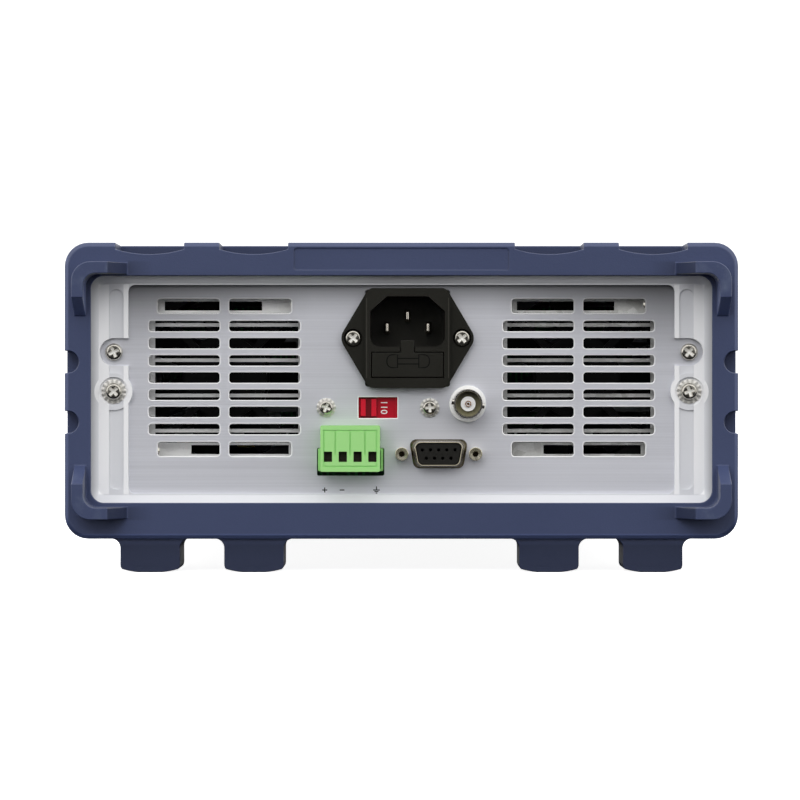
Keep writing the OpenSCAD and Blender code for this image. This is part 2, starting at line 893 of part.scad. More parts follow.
// Fused mains inlet: hexagonal flange, socket recess above, drawer shaft below
module inlet_body() {
    color([0.1, 0.09, 0.08]) at_rear(inlet_u, inlet_v) difference() {
        union() {
            linear_extrude(ear_t) inlet_outline();
            slab(inlet_w, inlet_h, inlet_r, 0, inlet_t);
            slab(inlet_body_w, inlet_body_h, 1, -inlet_depth, thin);
        }
        translate([0, socket_v, inlet_t - socket_depth]) linear_extrude(socket_depth + 1) socket_outline();
        translate([0, drawer_v, 0]) block(drawer_w, drawer_h, inlet_t - drawer_len - 0.5, inlet_t + 1);
        translate([0, drawer_v + drawer_h / 2 + drawer_tab_h / 2 - 0.5, 0])
            block(drawer_tab_w + 2 * slip, drawer_tab_h + 1 + 2 * slip,
                inlet_t - drawer_tab_t - 0.5, inlet_t + 1);
        for (s = [-1, 1]) {
            translate([s * inlet_screws / 2, 0, 0]) {
                rod(m3_hole, -1, ear_t + 1);
                rod(head_r + 0.3, ear_t - cap_screw_head_h - 0.2, ear_t + 1);
            }
        }
    }
}

module inlet_outline() {
    hull() {
        for (s = [-1, 1]) {
            translate([s * (inlet_tip / 2 - inlet_tip_r), 0]) circle(inlet_tip_r, $fn = 32);
            for (t = [-1, 1]) {
                translate([s * (inlet_w / 2 - inlet_r), t * (inlet_h / 2 - inlet_r)]) circle(inlet_r, $fn = 32);
            }
        }
    }
}

// Socket recess: chamfered above, rounded below
module socket_outline() {
    intersection() {
        rounded_rect(socket_w, socket_h, socket_r);
        translate([-socket_w / 2, -socket_h / 2]) square([socket_w, socket_h / 2 + thin]);
    }
    polygon([
        [-socket_w / 2, 0], [socket_w / 2, 0], [socket_w / 2, socket_h / 2 - 5],
        [socket_w / 2 - 5.7, socket_h / 2], [-socket_w / 2 + 5.7, socket_h / 2],
        [-socket_w / 2, socket_h / 2 - 5]
    ]);
}

// Three contact blades standing on the floor of the socket recess
module inlet_pins() {
    floor_w = inlet_t - socket_depth;
    color([0.75, 0.74, 0.7]) at_rear(inlet_u, inlet_v + socket_v) {
        for (p = [[-pin_u, -pin_v], [0, pin_v], [pin_u, -pin_v]]) {
            translate([p[0], p[1], floor_w]) hull() {
                block(pin_w, pin_h, 0, pin_len - pin_tip);
                block(pin_w - pin_taper, pin_h - pin_taper, 0, pin_len);
            }
        }
    }
}

// Fuse drawer with a latch tab and two fuse pockets
module fuse_drawer() {
    gap = slip;
    color([0.11, 0.1, 0.09]) at_rear(inlet_u, inlet_v + drawer_v) difference() {
        union() {
            block(drawer_w - 2 * gap, drawer_h - 2 * gap, inlet_t - drawer_len, inlet_t - 0.2);
            translate([0, drawer_h / 2 + drawer_tab_h / 2 - 0.6, 0])
                block(drawer_tab_w, drawer_tab_h + 0.9, inlet_t - drawer_tab_t, inlet_t - 0.2);
        }
        for (k = [0, 1]) {
            translate([0, 1.2, fuse_w(k)])
                block(fuse_len + 0.4, drawer_h, -fuse_r - 0.2, fuse_r + 0.2);
        }
    }
}

// Distance of the middle of a fuse from the panel face
function fuse_w(k) = inlet_t - 9 - k * 8;

module fuses() {
    color([0.8, 0.8, 0.78]) at_rear(inlet_u, inlet_v + drawer_v) {
        for (k = [0, 1]) {
            translate([-fuse_len / 2, 1.2 - drawer_h / 2 + fuse_r + 0.1, fuse_w(k)]) rotate([0, 90, 0]) {
                rod(fuse_r, 0, 5.5);
                rod(fuse_r - 0.25, 5.4, fuse_len - 5.4);
                rod(fuse_r, fuse_len - 5.5, fuse_len);
            }
        }
    }
}

// Voltage selector: plate behind the panel with a shallow well for the slider, and its housing
module selector_body() {
    floor_w = -panel_t - well_depth;
    color([0.72, 0.02, 0.13]) at_rear(selector_u, selector_v) difference() {
        union() {
            slab(selector_screws + 8, selector_h + 2.6, 2, -panel_t - selector_plate, -panel_t);
            block(22, selector_h + 2.6, -selector_depth, -panel_t - selector_plate + thin);
        }
        block(well_w, well_h, floor_w, 1);
        for (s = [-1, 1]) {
            translate([s * selector_screws / 2, 0, 0]) rod(m3_hole, -selector_depth - 1, 1);
        }
    }
}

// Slider with a screwdriver slot, held behind the panel by its base, at the left end of its travel
module selector_slider() {
    floor_w = -panel_t - well_depth;
    start = -well_w / 2 + slider_end + slider_w / 2;
    color([0.78, 0.03, 0.15]) at_rear(selector_u, selector_v) translate([start, 0, 0]) difference() {
        union() {
            block(slider_w, slider_h, floor_w + run, -selector_sink);
            block(slider_w, well_h - 0.2, floor_w + run, floor_w + run + slider_base);
        }
        block(slider_groove, well_h, -selector_sink - slider_cut, 1);
    }
}

// Small board that carries the terminal header and the nine pole socket
module connector_board() {
    color([0.05, 0.3, 0.14]) at_rear(0, (small_low + small_high) / 2)
        block(small_w, small_high - small_low, -board_back - board_t, -board_back);
}

// Terminal header in the panel cut-out, with one contact pin for each pole
module terminal_header() {
    color([0.42, 0.72, 0.4]) at_rear(terminal_u, terminal_v) {
        difference() {
            slab(header_w, header_h, 0.4, -board_back, header_front);
            slab(cavity_w, cavity_h, 0.3, -cavity_floor, header_front + 1);
        }
        pole_places() block(pole_w, pole_w, -cavity_floor - 0.5, -2);
    }
}

module pole_places() {
    for (i = [0:terminals - 1]) {
        translate([(i - (terminals - 1) / 2) * terminal_pitch, 0, 0]) children();
    }
}

// Pull-off terminal plug with wire openings and screw shafts
module terminal_plug() {
    color([0.5, 0.8, 0.46]) at_rear(terminal_u, terminal_v) difference() {
        union() {
            translate([0, plug_v, 0]) slab(plug_w, plug_h, 0.5, plug_back, plug_front);
            slab(cavity_w - 2 * slip, cavity_h - 2 * slip, 0.2, -plug_tongue, plug_back + 0.2);
        }
        pole_places() {
            block(pole_w + 0.6, pole_w + 0.6, -plug_tongue - 1, 0.2);
            translate([0, wire_v, 0]) block(wire_w, wire_h, plug_front - 7, plug_front + 1);
            translate([0, plug_v + plug_h / 2, clamp_w]) rotate([-90, 0, 0])
                rod(clamp_r + 0.1, -clamp_h - 0.6, 1);
        }
        for (i = [-1:1]) {
            translate([i * terminal_pitch, plug_v + 2, 0])
                block(0.5, plug_h - 7, plug_front - 0.5, plug_front + 1);
        }
        translate([0, plug_v, 0]) difference() {
            block(plug_w - 1.8, plug_h - 3, plug_front - 0.4, plug_front + 1);
            block(plug_w - 2.8, plug_h - 4, plug_front - 1, plug_front + 2);
        }
    }
}

// Clamp screws in the shafts of the plug
module terminal_clamps() {
    color([0.75, 0.75, 0.75]) at_rear(terminal_u, terminal_v) pole_places() {
        translate([0, plug_v + plug_h / 2 - 0.6, clamp_w]) rotate([-90, 0, 0]) difference() {
            rod(clamp_r, -clamp_h, 0);
            block(4 * clamp_r, 0.6, -0.9, 1);
        }
    }
}

// D outline, wider above, as seen from outside
module d_shape(w, h, r) {
    lean = (h - 2 * r) * tan(10);
    hull() {
        for (s = [-1, 1]) {
            translate([s * (w / 2 - r), h / 2 - r]) circle(r, $fn = 32);
            translate([s * (w / 2 - r - lean), -h / 2 + r]) circle(r, $fn = 32);
        }
    }
}

module dsub_shell() {
    color([0.75, 0.74, 0.7]) at_rear(dsub_u, dsub_v) difference() {
        union() {
            slab(dsub_flange_w, dsub_flange_h, 1, -panel_t - dsub_flange_t, -panel_t);
            translate([0, 0, -panel_t - thin]) linear_extrude(panel_t + flare_t + thin)
                d_shape(flare_w, flare_h, 2.2);
            linear_extrude(shell_front) d_shape(shell_w, shell_h, 2.2);
        }
        translate([0, 0, -panel_t - 2]) linear_extrude(shell_front + 6)
            d_shape(shell_w - 2 * shell_wall, shell_h - 2 * shell_wall, 1.7);
        for (s = [-1, 1]) {
            translate([s * jack_pitch / 2, 0, 0]) rod(jack_stud_r + 0.1, -panel_t - 2, 0);
        }
    }
}

// Insulator with five and four contact holes, and its housing on the board
module dsub_insert() {
    fit = 2 * shell_wall + 2 * 0.2;
    color([0.07, 0.07, 0.07]) at_rear(dsub_u, dsub_v) difference() {
        union() {
            translate([0, 0, -panel_t - dsub_flange_t - 1])
                linear_extrude(panel_t + dsub_flange_t + 1 + shell_front - 0.5)
                d_shape(shell_w - fit, shell_h - fit, 1.5);
            slab(19.2, 10.6, 0.5, -board_back, -panel_t - dsub_flange_t);
        }
        for (row = [0, 1], i = [0:4 - row]) {
            translate([(i - 2 + row / 2) * 2.77, 1.42 - row * 2.84, 0])
                rod(0.55, shell_front - 6, shell_front + 1);
        }
    }
}

// Jack screws that hold the nine pole socket and take the screws of its plug
module dsub_jackscrews() {
    color([0.78, 0.77, 0.74]) at_rear(dsub_u, dsub_v) {
        for (s = [-1, 1]) {
            translate([s * jack_pitch / 2, 0, 0]) difference() {
                union() {
                    rod(jack_r, 0, jack_len);
                    rod(jack_stud_r, -6, 0.1);
                }
                rod(jack_bore_r, 0.4, jack_len + 1);
            }
        }
    }
}

// Coaxial jack: shell with two bayonet lugs and a nut behind the panel
module coax_shell() {
    color([0.8, 0.79, 0.76]) at_rear(coax_u, coax_v) difference() {
        union() {
            rod(coax_r, -coax_tail, coax_front);
            rotate([0, 0, -8]) rotate([0, 90, 0]) translate([-8.5, 0, 0]) rod(1, -5.6, 5.6);
            translate([0, 0, -panel_t - 2.4]) cylinder(r = 7.2, h = 2.4, $fn = 6);
        }
        rod(coax_r - coax_wall, coax_floor, coax_front + 1);
    }
}

module coax_collar() {
    color([0.95, 0.95, 0.93]) at_rear(coax_u, coax_v) difference() {
        rod(coax_collar_r, 0, coax_collar_h);
        rod(coax_r + run, -1, coax_collar_h + 1);
    }
}

// Insulator and centre contact of the coaxial jack
module coax_core() {
    color([0.93, 0.92, 0.88]) at_rear(coax_u, coax_v) difference() {
        union() {
            rod(coax_core_r, coax_floor, coax_front - 2);
            rod(1, coax_front - 2.5, coax_front - 1.2);
        }
        rod(0.5, coax_front - 5, coax_front);
    }
}

// Front panel moulding with raised rim, board posts and a skirt inside the cover
module front_bezel() {
    color([0.84, 0.84, 0.85]) at_front() difference() {
        union() {
            difference() {
                union() {
                    slab(case_w, case_h, case_r, -front_t, bezel_rim);
                    slab(rebate_w, rebate_h, case_r - cover_t, -front_skirt, -front_t + thin);
                }
                bezel_slope(0);
                slab(rebate_w - 2 * front_wall, rebate_h - 2 * front_wall, 1, -front_skirt - 1, -front_t);
            }
            board_posts() rod(3, -flat_d, -front_t + 0.2);
        }
        translate([display_u, display_v, 0]) {
            slab(display_w + 2 * slip, display_h + 2 * slip, 2, -lens_t - 0.1, bezel_rim + 1);
            slab(display_w - 2 * lens_edge, display_h - 2 * lens_edge, 1, -front_t - 1, 1);
        }
        for (i = [0:11]) {
            key_place(i) slab(key_w + 2 * key_gap, key_h + 2 * key_gap, 1.5, -front_t - 1, 1);
        }
        translate([power_u, power_v, 0])
            slab(power_w + 2 * key_gap, power_w + 2 * key_gap, 1.5, -front_t - 1, 1);
        translate([knob_u, knob_v, 0]) rod(bush_r + 0.2, -front_t - 1, 1);
        post_places() rod(base_r + 0.2, -front_t - 1, 1);
    }
}

module board_posts() {
    upper_v = panel_board_top - 2;
    lower_v = panel_board_low + 5.5;
    upper_u = panel_board_half - 3;
    places = [[-upper_u, upper_v], [upper_u, upper_v], [lower_left + 6, lower_v], [lower_right - 6, lower_v]];
    for (p = places) {
        translate([p[0], p[1], 0]) children();
    }
}

module post_places() {
    for (s = [-1, 1]) {
        post_place(s) children();
    }
}

module post_place(s) {
    translate([post_u + s * post_pitch / 2, post_v, 0]) children();
}

module key_place(i) {
    row = floor(i / 4);
    translate([key_u + (i - 4 * row) * key_step_u, key_v - row * key_step_v, 0]) children();
}

module display_window() {
    color([0.03, 0.04, 0.06]) at_front(display_u, display_v)
        slab(display_w, display_h, 1.75, -lens_t - 0.1, -0.1);
}

module display_module() {
    color([0.1, 0.25, 0.35]) at_front(display_u, display_v)
        block(display_w - 3, display_h - 3, -flat_d, -front_t - 0.3);
}

// Board behind the front panel with the switch under each key
module control_board() {
    color([0.05, 0.3, 0.14]) at_front() {
        translate([0, 0, -flat_d - board_t]) linear_extrude(board_t) {
            translate([-panel_board_half, panel_board_mid])
                square([2 * panel_board_half, panel_board_top - panel_board_mid]);
            translate([lower_left, panel_board_low])
                square([lower_right - lower_left, panel_board_mid - panel_board_low + 0.5]);
        }
        for (i = [0:11]) {
            key_place(i) block(switch_w, switch_w, -flat_d - 0.1, -flat_d + 1.5);
        }
    }
}

module key(i) {
    color([0.45, 0.47, 0.5]) at_front() key_place(i) {
        slab(key_w, key_h, 1.2, -front_t - key_gap - thin, key_front);
        slab(key_w + 2, key_h + 2, 1.5, -front_t - key_gap - key_flange, -front_t - key_gap);
        rod(1.5, -flat_d + 1.5 + key_travel + 0.2, -front_t - key_gap - key_flange + thin);
    }
}

// Push switch for the mains behind the front panel
module power_switch_body() {
    color([0.12, 0.12, 0.12]) at_front(power_u, power_v) difference() {
        slab(power_body, power_body, 1, -26, -front_t);
        block(power_w + 3, power_w + 3, -9.5, 0);
        block(power_stem + 0.3, power_stem + 0.3, -21, 0);
    }
}

module power_button() {
    back = -front_t - key_gap - power_flange;
    color([0.2, 0.21, 0.23]) at_front(power_u, power_v) {
        slab(power_w, power_w, 1.2, back, power_front);
        block(power_w + 2, power_w + 2, back, -front_t - key_gap);
        block(power_stem, power_stem, -14, back + thin);
    }
}

// Rotary encoder: housing on the board, threaded bush and nut on the front panel
module encoder_body() {
    color([0.55, 0.56, 0.56]) at_front(knob_u, knob_v) difference() {
        union() {
            block(12.5, 12.5, -flat_d, -front_t - 0.2);
            rod(bush_r, -front_t - 0.4, 4);
            cylinder(r = nut_r, h = nut_h, $fn = 6);
        }
        rod(shaft_r + run, -flat_d + 0.6, 5);
    }
}

module encoder_shaft() {
    color([0.7, 0.7, 0.7]) at_front(knob_u, knob_v) rod(shaft_r, -flat_d + 0.8, knob_top - 3);
}

// Ribbed knob with a hollow underside and a finger dimple
module knob() {
    grip_radius = knob_r - knob_skirt;
    flute_r = 0.9;
    color([0.25, 0.26, 0.28]) at_front(knob_u, knob_v) difference() {
        union() {
            rod(knob_r, knob_base, knob_base + knob_skirt_h);
            rod(grip_radius, knob_base, knob_top - 1);
            translate([0, 0, knob_top - 1]) cylinder(r1 = grip_radius, r2 = grip_radius - 1, h = 1);
        }
        for (i = [0:23]) {
            rotate([0, 0, 15 * i]) translate([grip_radius + 0.3, 0, 0])
                rod(flute_r, knob_base + knob_skirt_h + 0.6, knob_top - 1.8);
        }
        rod(nut_r + 1, knob_base - 1, 5);
        rod(shaft_r + 0.02, 4, knob_top - 2.9);
        translate([grip_radius * 0.6, 0, knob_top + 5.2]) sphere(6.5);
    }
}

// Insulating base of each binding post, clamped from both sides of the panel
module post_bases() {
    color([0.1, 0.1, 0.1]) at_front() post_places() difference() {
        union() {
            rod(collar_r, 0, collar_h);
            rod(base_r, -front_t - 0.1, 0.1);
            rod(collar_r, -front_t - 3, -front_t);
        }
        rod(stud_r + run, -front_t - 4, collar_h + 1);
    }
}

// Metal studs with the plug bore in front and a nut behind
module post_studs() {
    color([0.85, 0.7, 0.35]) at_front() post_places() difference() {
        union() {
            rod(stud_r, -stud_back, post_top - stud_sink);
            translate([0, 0, -front_t - 2 * stud_nut_h]) cylinder(r = stud_nut_r, h = stud_nut_h, $fn = 6);
        }
        rod(post_bore_r, post_top - stud_sink - post_bore, post_top);
    }
}

module post_washer() {
    difference() {
        rod(6.5, collar_h, collar_h + washer_t);
        rod(stud_r + 0.3, 0, collar_h + 2);
    }
}

// Fluted screw cap of a binding post
module post_cap() {
    difference() {
        union() {
            rod(cap_r - 1, cap_base, cap_base + 3.1);
            rod(cap_r, cap_base + 3, post_top - 1.5);
            translate([0, 0, post_top - 1.51]) cylinder(r1 = cap_r, r2 = cap_r - 1.5, h = 1.51);
        }
        for (i = [0:11]) {
            rotate([0, 0, 30 * i]) translate([cap_r + 0.7, 0, 0]) rod(1.4, cap_base + 3, post_top + 1);
        }
        rod(stud_r + run, 0, post_top + 1);
    }
}

module red_post_washer() {
    color([0.8, 0.7, 0.45]) at_front() post_place(-1) post_washer();
}

module red_post_cap() {
    color([0.75, 0.06, 0.06]) at_front() post_place(-1) post_cap();
}

module black_post_washer() {
    color([0.8, 0.7, 0.45]) at_front() post_place(1) post_washer();
}

module black_post_cap() {
    color([0.08, 0.08, 0.08]) at_front() post_place(1) post_cap();
}

module power_board() {
    color([0.05, 0.3, 0.14])
        translate([-power_w_board / 2, rear_y - power_rear - power_len, mid_z + board_low])
            cube([power_w_board, power_len, board_t]);
}

// Two finned heat sinks in the air stream of the fans
module heat_sinks() {
    h = sink_top - board_top;
    step = (h - fin_t) / (sink_fins - 1);
    color([0.62, 0.63, 0.64]) at_rear(0, board_top, -power_rear - sink_len) {
        for (s = [0, 1]) {
            mirror([s, 0, 0]) linear_extrude(sink_len) {
                translate([sink_inner, 0]) square([sink_base, h]);
                for (k = [0:sink_fins - 1]) {
                    translate([sink_inner + 1, k * step]) square([sink_outer - sink_inner - 1, fin_t]);
                }
            }
        }
    }
}

module power_transistors() {
    color([0.06, 0.06, 0.06]) at_rear() {
        for (s = [-1, 1], k = [0:2]) {
            device_back = power_rear + device_first + device_pitch * k;
            translate([s * (sink_inner - device_t / 2), board_top, -device_back]) {
                translate([0, device_v, 0]) block(device_t, device_h, -device_w / 2, device_w / 2);
                for (p = [-1:1]) {
                    translate([0, lead_len / 2, lead_pitch * p]) block(0.8, lead_len, -0.7, 0.7);
                }
            }
        }
    }
}

// Laminated core on the tray floor with the winding around its middle limb
module transformer() {
    core_w = 62;
    core_h = 52;
    core_t = 24;
    window = 9;
    color([0.35, 0.33, 0.31]) at_rear(0, floor_top, -xfmr_back) {
        difference() {
            translate([0, core_h / 2, 0]) block(core_w, core_h, -core_t / 2, core_t / 2);
            for (s = [-1, 1]) {
                translate([s * 15.5, core_h / 2, 0]) block(window, core_h - 20, -core_t, core_t);
            }
        }
        translate([0, core_h / 2, 0]) difference() {
            block(39.5, core_h - 20.5, -core_t / 2 - 9, core_t / 2 + 9);
            block(22.4, core_h, -core_t / 2 - 0.2, core_t / 2 + 0.2);
        }
    }
}

case_cover();
chassis_tray();
fan_bracket();
rear_panel();
rear_bezel();
rear_boot();
front_boot();
front_bezel();
display_window();
display_module();
control_board();
power_board();
heat_sinks();
power_transistors();
transformer();
fan_frame_left();
fan_frame_right();
fan_rotor_left();
fan_rotor_right();
chassis_screws();
rear_screws();
inlet_body();
inlet_pins();
fuse_drawer();
fuses();
selector_body();
selector_slider();
connector_board();
terminal_header();
terminal_plug();
terminal_clamps();
dsub_shell();
dsub_insert();
dsub_jackscrews();
coax_shell();
coax_collar();
coax_core();
encoder_body();
encoder_shaft();
knob();
power_switch_body();
power_button();
post_bases();
post_studs();
red_post_washer();
red_post_cap();
black_post_washer();
black_post_cap();
for (i = [0:11]) {
    key(i);
}
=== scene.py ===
# %% [markdown]
# # A bench electronic load, dressed for its rear view
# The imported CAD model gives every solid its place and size. This lesson adds what the eye expects beyond
# that: rounded moulding edges, screw recesses, toothed washers, printed marks and a finish for each material.
# Everything shares one frame in metres: X is the width, Y the depth with the rear at plus Y, and Z is up.

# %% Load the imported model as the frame
import json
import math

import bmesh
import bpy
import numpy as np
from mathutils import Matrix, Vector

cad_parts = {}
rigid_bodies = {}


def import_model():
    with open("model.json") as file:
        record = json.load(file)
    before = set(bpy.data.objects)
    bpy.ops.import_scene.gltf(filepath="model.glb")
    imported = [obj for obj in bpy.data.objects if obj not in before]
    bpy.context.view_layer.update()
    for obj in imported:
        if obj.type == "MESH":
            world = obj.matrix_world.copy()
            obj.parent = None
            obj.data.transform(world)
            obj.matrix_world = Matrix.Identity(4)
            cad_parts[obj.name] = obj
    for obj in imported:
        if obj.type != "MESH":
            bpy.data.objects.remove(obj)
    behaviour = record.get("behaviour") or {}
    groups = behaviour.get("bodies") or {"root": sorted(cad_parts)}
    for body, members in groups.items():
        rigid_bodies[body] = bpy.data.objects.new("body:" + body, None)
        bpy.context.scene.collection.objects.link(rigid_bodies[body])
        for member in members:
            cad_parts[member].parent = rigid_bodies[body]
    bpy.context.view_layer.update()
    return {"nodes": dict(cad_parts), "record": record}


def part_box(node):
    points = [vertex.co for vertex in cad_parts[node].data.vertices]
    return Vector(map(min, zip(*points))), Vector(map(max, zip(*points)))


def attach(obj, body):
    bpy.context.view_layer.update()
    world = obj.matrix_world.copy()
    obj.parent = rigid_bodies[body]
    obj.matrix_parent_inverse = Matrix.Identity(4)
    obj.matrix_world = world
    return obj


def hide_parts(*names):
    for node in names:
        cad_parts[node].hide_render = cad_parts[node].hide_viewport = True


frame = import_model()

# %% [markdown]
# ## A flat face to measure from
# A maker of panels measures from the panel face, so the small pieces do too. Positions could be typed in
# the shared frame, but millimetres right and up on the face are easier to check against a drawing. The face
# is read from the CAD solid, so it follows the model when the model changes.

# %% Frame of the rear panel face
MM = 0.001
rear_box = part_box("rear_panel")
rear_y = rear_box[1].y
mid_z = (rear_box[0].z + rear_box[1].z) / 2


def on_face(local, origin, right, up):
    """Local millimetres to the frame: origin + x * right + y * up + z * (right cross up)."""
    axes = np.array([right, up, np.cross(right, up)], float)
    return np.asarray(origin, float) + MM * (np.asarray(local, float) @ axes)


def rear(local, u=0.0, v=0.0, w=0.0):
    """Shifts local points by (u, v, w) on the rear face: u to the right as seen from behind, w outwards."""
    return on_face(np.asarray(local, float) + (u, v, w), (0, rear_y, mid_z), (-1, 0, 0), (0, 0, 1))


print("rear face at y =", round(rear_y, 5), "middle at z =", round(mid_z, 5))

# %% [markdown]
# ## Shader sums written as sums
# A finish is a formula over the surface: a colour that drifts, a roughness that follows it, a fine grain.
# Nodes could be wired one by one, but a formula is easier to read as a formula. The class below wraps one
# output socket, so that 1 - mask adds the Math node for us. Its node method adds any other node, and the
# short methods after it mix colours, mark bands on the object and turn a height into relief.

# %% A socket that can be reckoned with
class Wire:
    """One output socket of a node tree; sums with it add Math nodes to that tree."""

    def __init__(self, tree, socket=None):
        self.tree = tree
        self.socket = socket

    def node(self, kind, settings=(), sockets=(), out=0):
        """Adds a node: first its settings, then the value or link of each socket; gives its output."""
        made = self.tree.nodes.new(kind)
        for key, value in dict(settings).items():
            setattr(made, key, value)
        for key, value in dict(sockets).items():
            if isinstance(value, Wire):
                self.tree.links.new(value.socket, made.inputs[key])
            else:
                made.inputs[key].default_value = value
        return Wire(self.tree, made.outputs[out])

    def math(self, operation, first, second=0.0):
        return self.node("ShaderNodeMath", {"operation": operation}, {0: first, 1: second})

    def __add__(self, other):
        return self.math("ADD", self, other)

    __radd__ = __add__

    def __sub__(self, other):
        return self.math("SUBTRACT", self, other)

    def __rsub__(self, other):
        return self.math("SUBTRACT", other, self)

    def __mul__(self, other):
        return self.math("MULTIPLY", self, other)

    __rmul__ = __mul__

    def __pow__(self, other):
        return self.math("POWER", self, other)

    def __abs__(self):
        return self.math("ABSOLUTE", self)

    def mix(self, first, second):
        """The first colour where this value is 0, the second where it is 1."""
        return self.node("ShaderNodeMix", {"data_type": "RGBA"}, {0: self, 6: first, 7: second}, out=2)

    def spread(self, low, high):
        """Values between low and high stretched to run from 0 to 1, clipped beyond."""
        return self.node("ShaderNodeMapRange", {}, {"Value": self, "From Min": low, "From Max": high})

    def fade(self, low, high):
        """The same for a length in metres, between two limits in millimetres."""
        return self.spread(low * MM, high * MM)

    def band(self, low, high, blur=0.3):
        """1 where a length lies between two limits in millimetres and 0 beyond, blurred at both."""
        return self.fade(low - blur, low + blur) * self.fade(high + blur, high - blur)

    def relief(self, depth_mm):
        """A normal from a height between 0 and 1, with the depth in millimetres."""
        return self.node("ShaderNodeBump", {}, {"Height": self, "Distance": depth_mm * MM, "Strength": 1.0})


print("Wire is ready")

# %% [markdown]
# ## Helpers for every finish
# Paint shops give colours as screen values, so they are turned into linear light once, in Python. Grain is
# noise over Object coordinates: all objects sit at the origin, so the pattern has its true size in metres.
# A finish then is a small function that says which inputs of the shader change over the surface.

# %% Colour, grain and finish
def paint(red, green, blue):
    """Screen values 0 to 255 as linear light: ((c + 0.055) / 1.055) to the power 2.4, linear near black."""
    screen = np.array([red, green, blue], float) / 255
    light = np.where(screen <= 0.04045, screen / 12.92, ((screen + 0.055) / 1.055) ** 2.4)
    return (*[float(part) for part in light], 1.0)


def shaded(colour, factor):
    """The colour with each part of its light multiplied by a factor."""
    return (*[min(1.0, part * factor) for part in colour[:3]], 1.0)


def place(start, stretch=(1.0, 1.0, 1.0)):
    """Object coordinates, multiplied by stretch along each axis."""
    coordinates = start.node("ShaderNodeTexCoord", out="Object")
    return start.node("ShaderNodeMapping", {}, {"Vector": coordinates, "Scale": stretch})


def axis_of(start, axis):
    """One Object coordinate in metres: 0 is across, 1 is depth and 2 is up."""
    coordinates = start.node("ShaderNodeTexCoord", out="Object")
    return start.node("ShaderNodeSeparateXYZ", {}, {0: coordinates}, out=axis)


def grain(start, scale, stretch=(1.0, 1.0, 1.0), detail=3.0):
    """Noise from 0 to 1 with that many cells per metre along each axis of stretch 1."""
    return start.node("ShaderNodeTexNoise", {},
                      {"Vector": place(start, stretch), "Scale": scale, "Detail": detail})


def finish(name, build, **constants):
    """A material: build(start) gives the inputs that vary; constants sit on the shader's own sockets."""
    material = bpy.data.materials.new(name)
    material.use_nodes = True
    tree = material.node_tree
    shader = tree.nodes["Principled BSDF"]
    for key, value in constants.items():
        shader.inputs[key.replace("_", " ")].default_value = value
    for key, wire in build(Wire(tree)).items():
        tree.links.new(wire.socket, shader.inputs[key])
    return material


print("finish helpers are ready")

# %% [markdown]
# ## Moulded rubber and plastics
# A moulded skin copies the eroded steel of its mould: a fine even grain, slightly matt, with faint clouds
# where the melt flowed. A photograph of grain could be wrapped on, but noise at the true cell size looks
# right from any distance and needs no unwrapping. Dark mouldings get a lower specular level.

# %% The moulded finishes
def skin(start, colour, rough, cell_mm, depth_mm, cloud):
    """Grain of cells cell_mm wide over broad clouds, in colour, roughness and relief."""
    fine = grain(start, 1 / (cell_mm * MM), detail=2.0)
    clouds = grain(start, 38.0, detail=4.0)
    tone = 0.45 * fine + 0.55 * clouds
    return {
        "Base Color": tone.mix(shaded(colour, 1 - cloud), shaded(colour, 1 + cloud)),
        "Roughness": rough + 0.16 * (clouds - 0.5) + 0.10 * (fine - 0.5),
        "Normal": fine.relief(depth_mm),
    }


def moulded(name, colour, *looks, **constants):
    """A finish with one skin all over; the looks are its roughness, cell width, grain depth and clouds."""
    return finish(name, lambda start: skin(start, colour, *looks), **constants)


BEZEL_GREY = paint(222, 223, 227)
finishes = {
    "grey_plastic": moulded("grey_plastic_satin", BEZEL_GREY, 0.42, 0.45, 0.012, 0.03),
    "inlet_plastic": moulded("inlet_thermoset", paint(29, 28, 22), 0.40, 0.35, 0.020, 0.16,
                             Specular_IOR_Level=0.36),
    "black_plastic": moulded("black_plastic_satin", paint(29, 28, 25), 0.46, 0.40, 0.016, 0.14,
                             Specular_IOR_Level=0.3),
    "white_plastic": moulded("white_collar_plastic", paint(253, 253, 251), 0.35, 0.40, 0.008, 0.03),
    "red_plastic": moulded("selector_red_plastic", paint(188, 3, 34), 0.34, 0.30, 0.006, 0.10,
                           Specular_IOR_Level=0.3),
    "green_plastic": moulded("terminal_green_plastic", paint(166, 230, 140), 0.40, 0.30, 0.008, 0.06),
    "knob_plastic": moulded("knob_soft_plastic", paint(58, 60, 65), 0.52, 0.35, 0.020, 0.12),
    "key_plastic": moulded("key_soft_plastic", paint(118, 122, 128), 0.50, 0.30, 0.014, 0.08),
    "red_cap_plastic": moulded("post_red_plastic", paint(176, 22, 24), 0.34, 0.35, 0.008, 0.08,
                               Coat_Weight=0.2),
    "black_cap_plastic": moulded("post_black_plastic", paint(24, 24, 25), 0.34, 0.35, 0.008, 0.14,
                                 Coat_Weight=0.2),
}
print("moulded finishes:", len(finishes))

# %% [markdown]
# ## The boots and their zones
# The boots are dyed rubber, scuffed on the pads. The dome of this scene is more even than the light over the
# real object, so part of the shade and light is painted into the rubber: painted shade in hollows, on ramps,
# beside the ramps and at the feet, and painted highlights along rounded rims, the lower edge and the side
# ramps.
# An image could hold it, but bands in millimetres on the boot need no unwrapping.

# %% Boot rubber
boot_low, boot_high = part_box("front_boot")[0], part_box("rear_boot")[1]
PAD_HIGH = 12.0
BOOT_MIDDLE = (boot_low.y + boot_high.y) / 2
BOOT_FACE = (boot_high.y - boot_low.y) / 2 - PAD_HIGH * MM
BOOT_TOP = boot_high.z
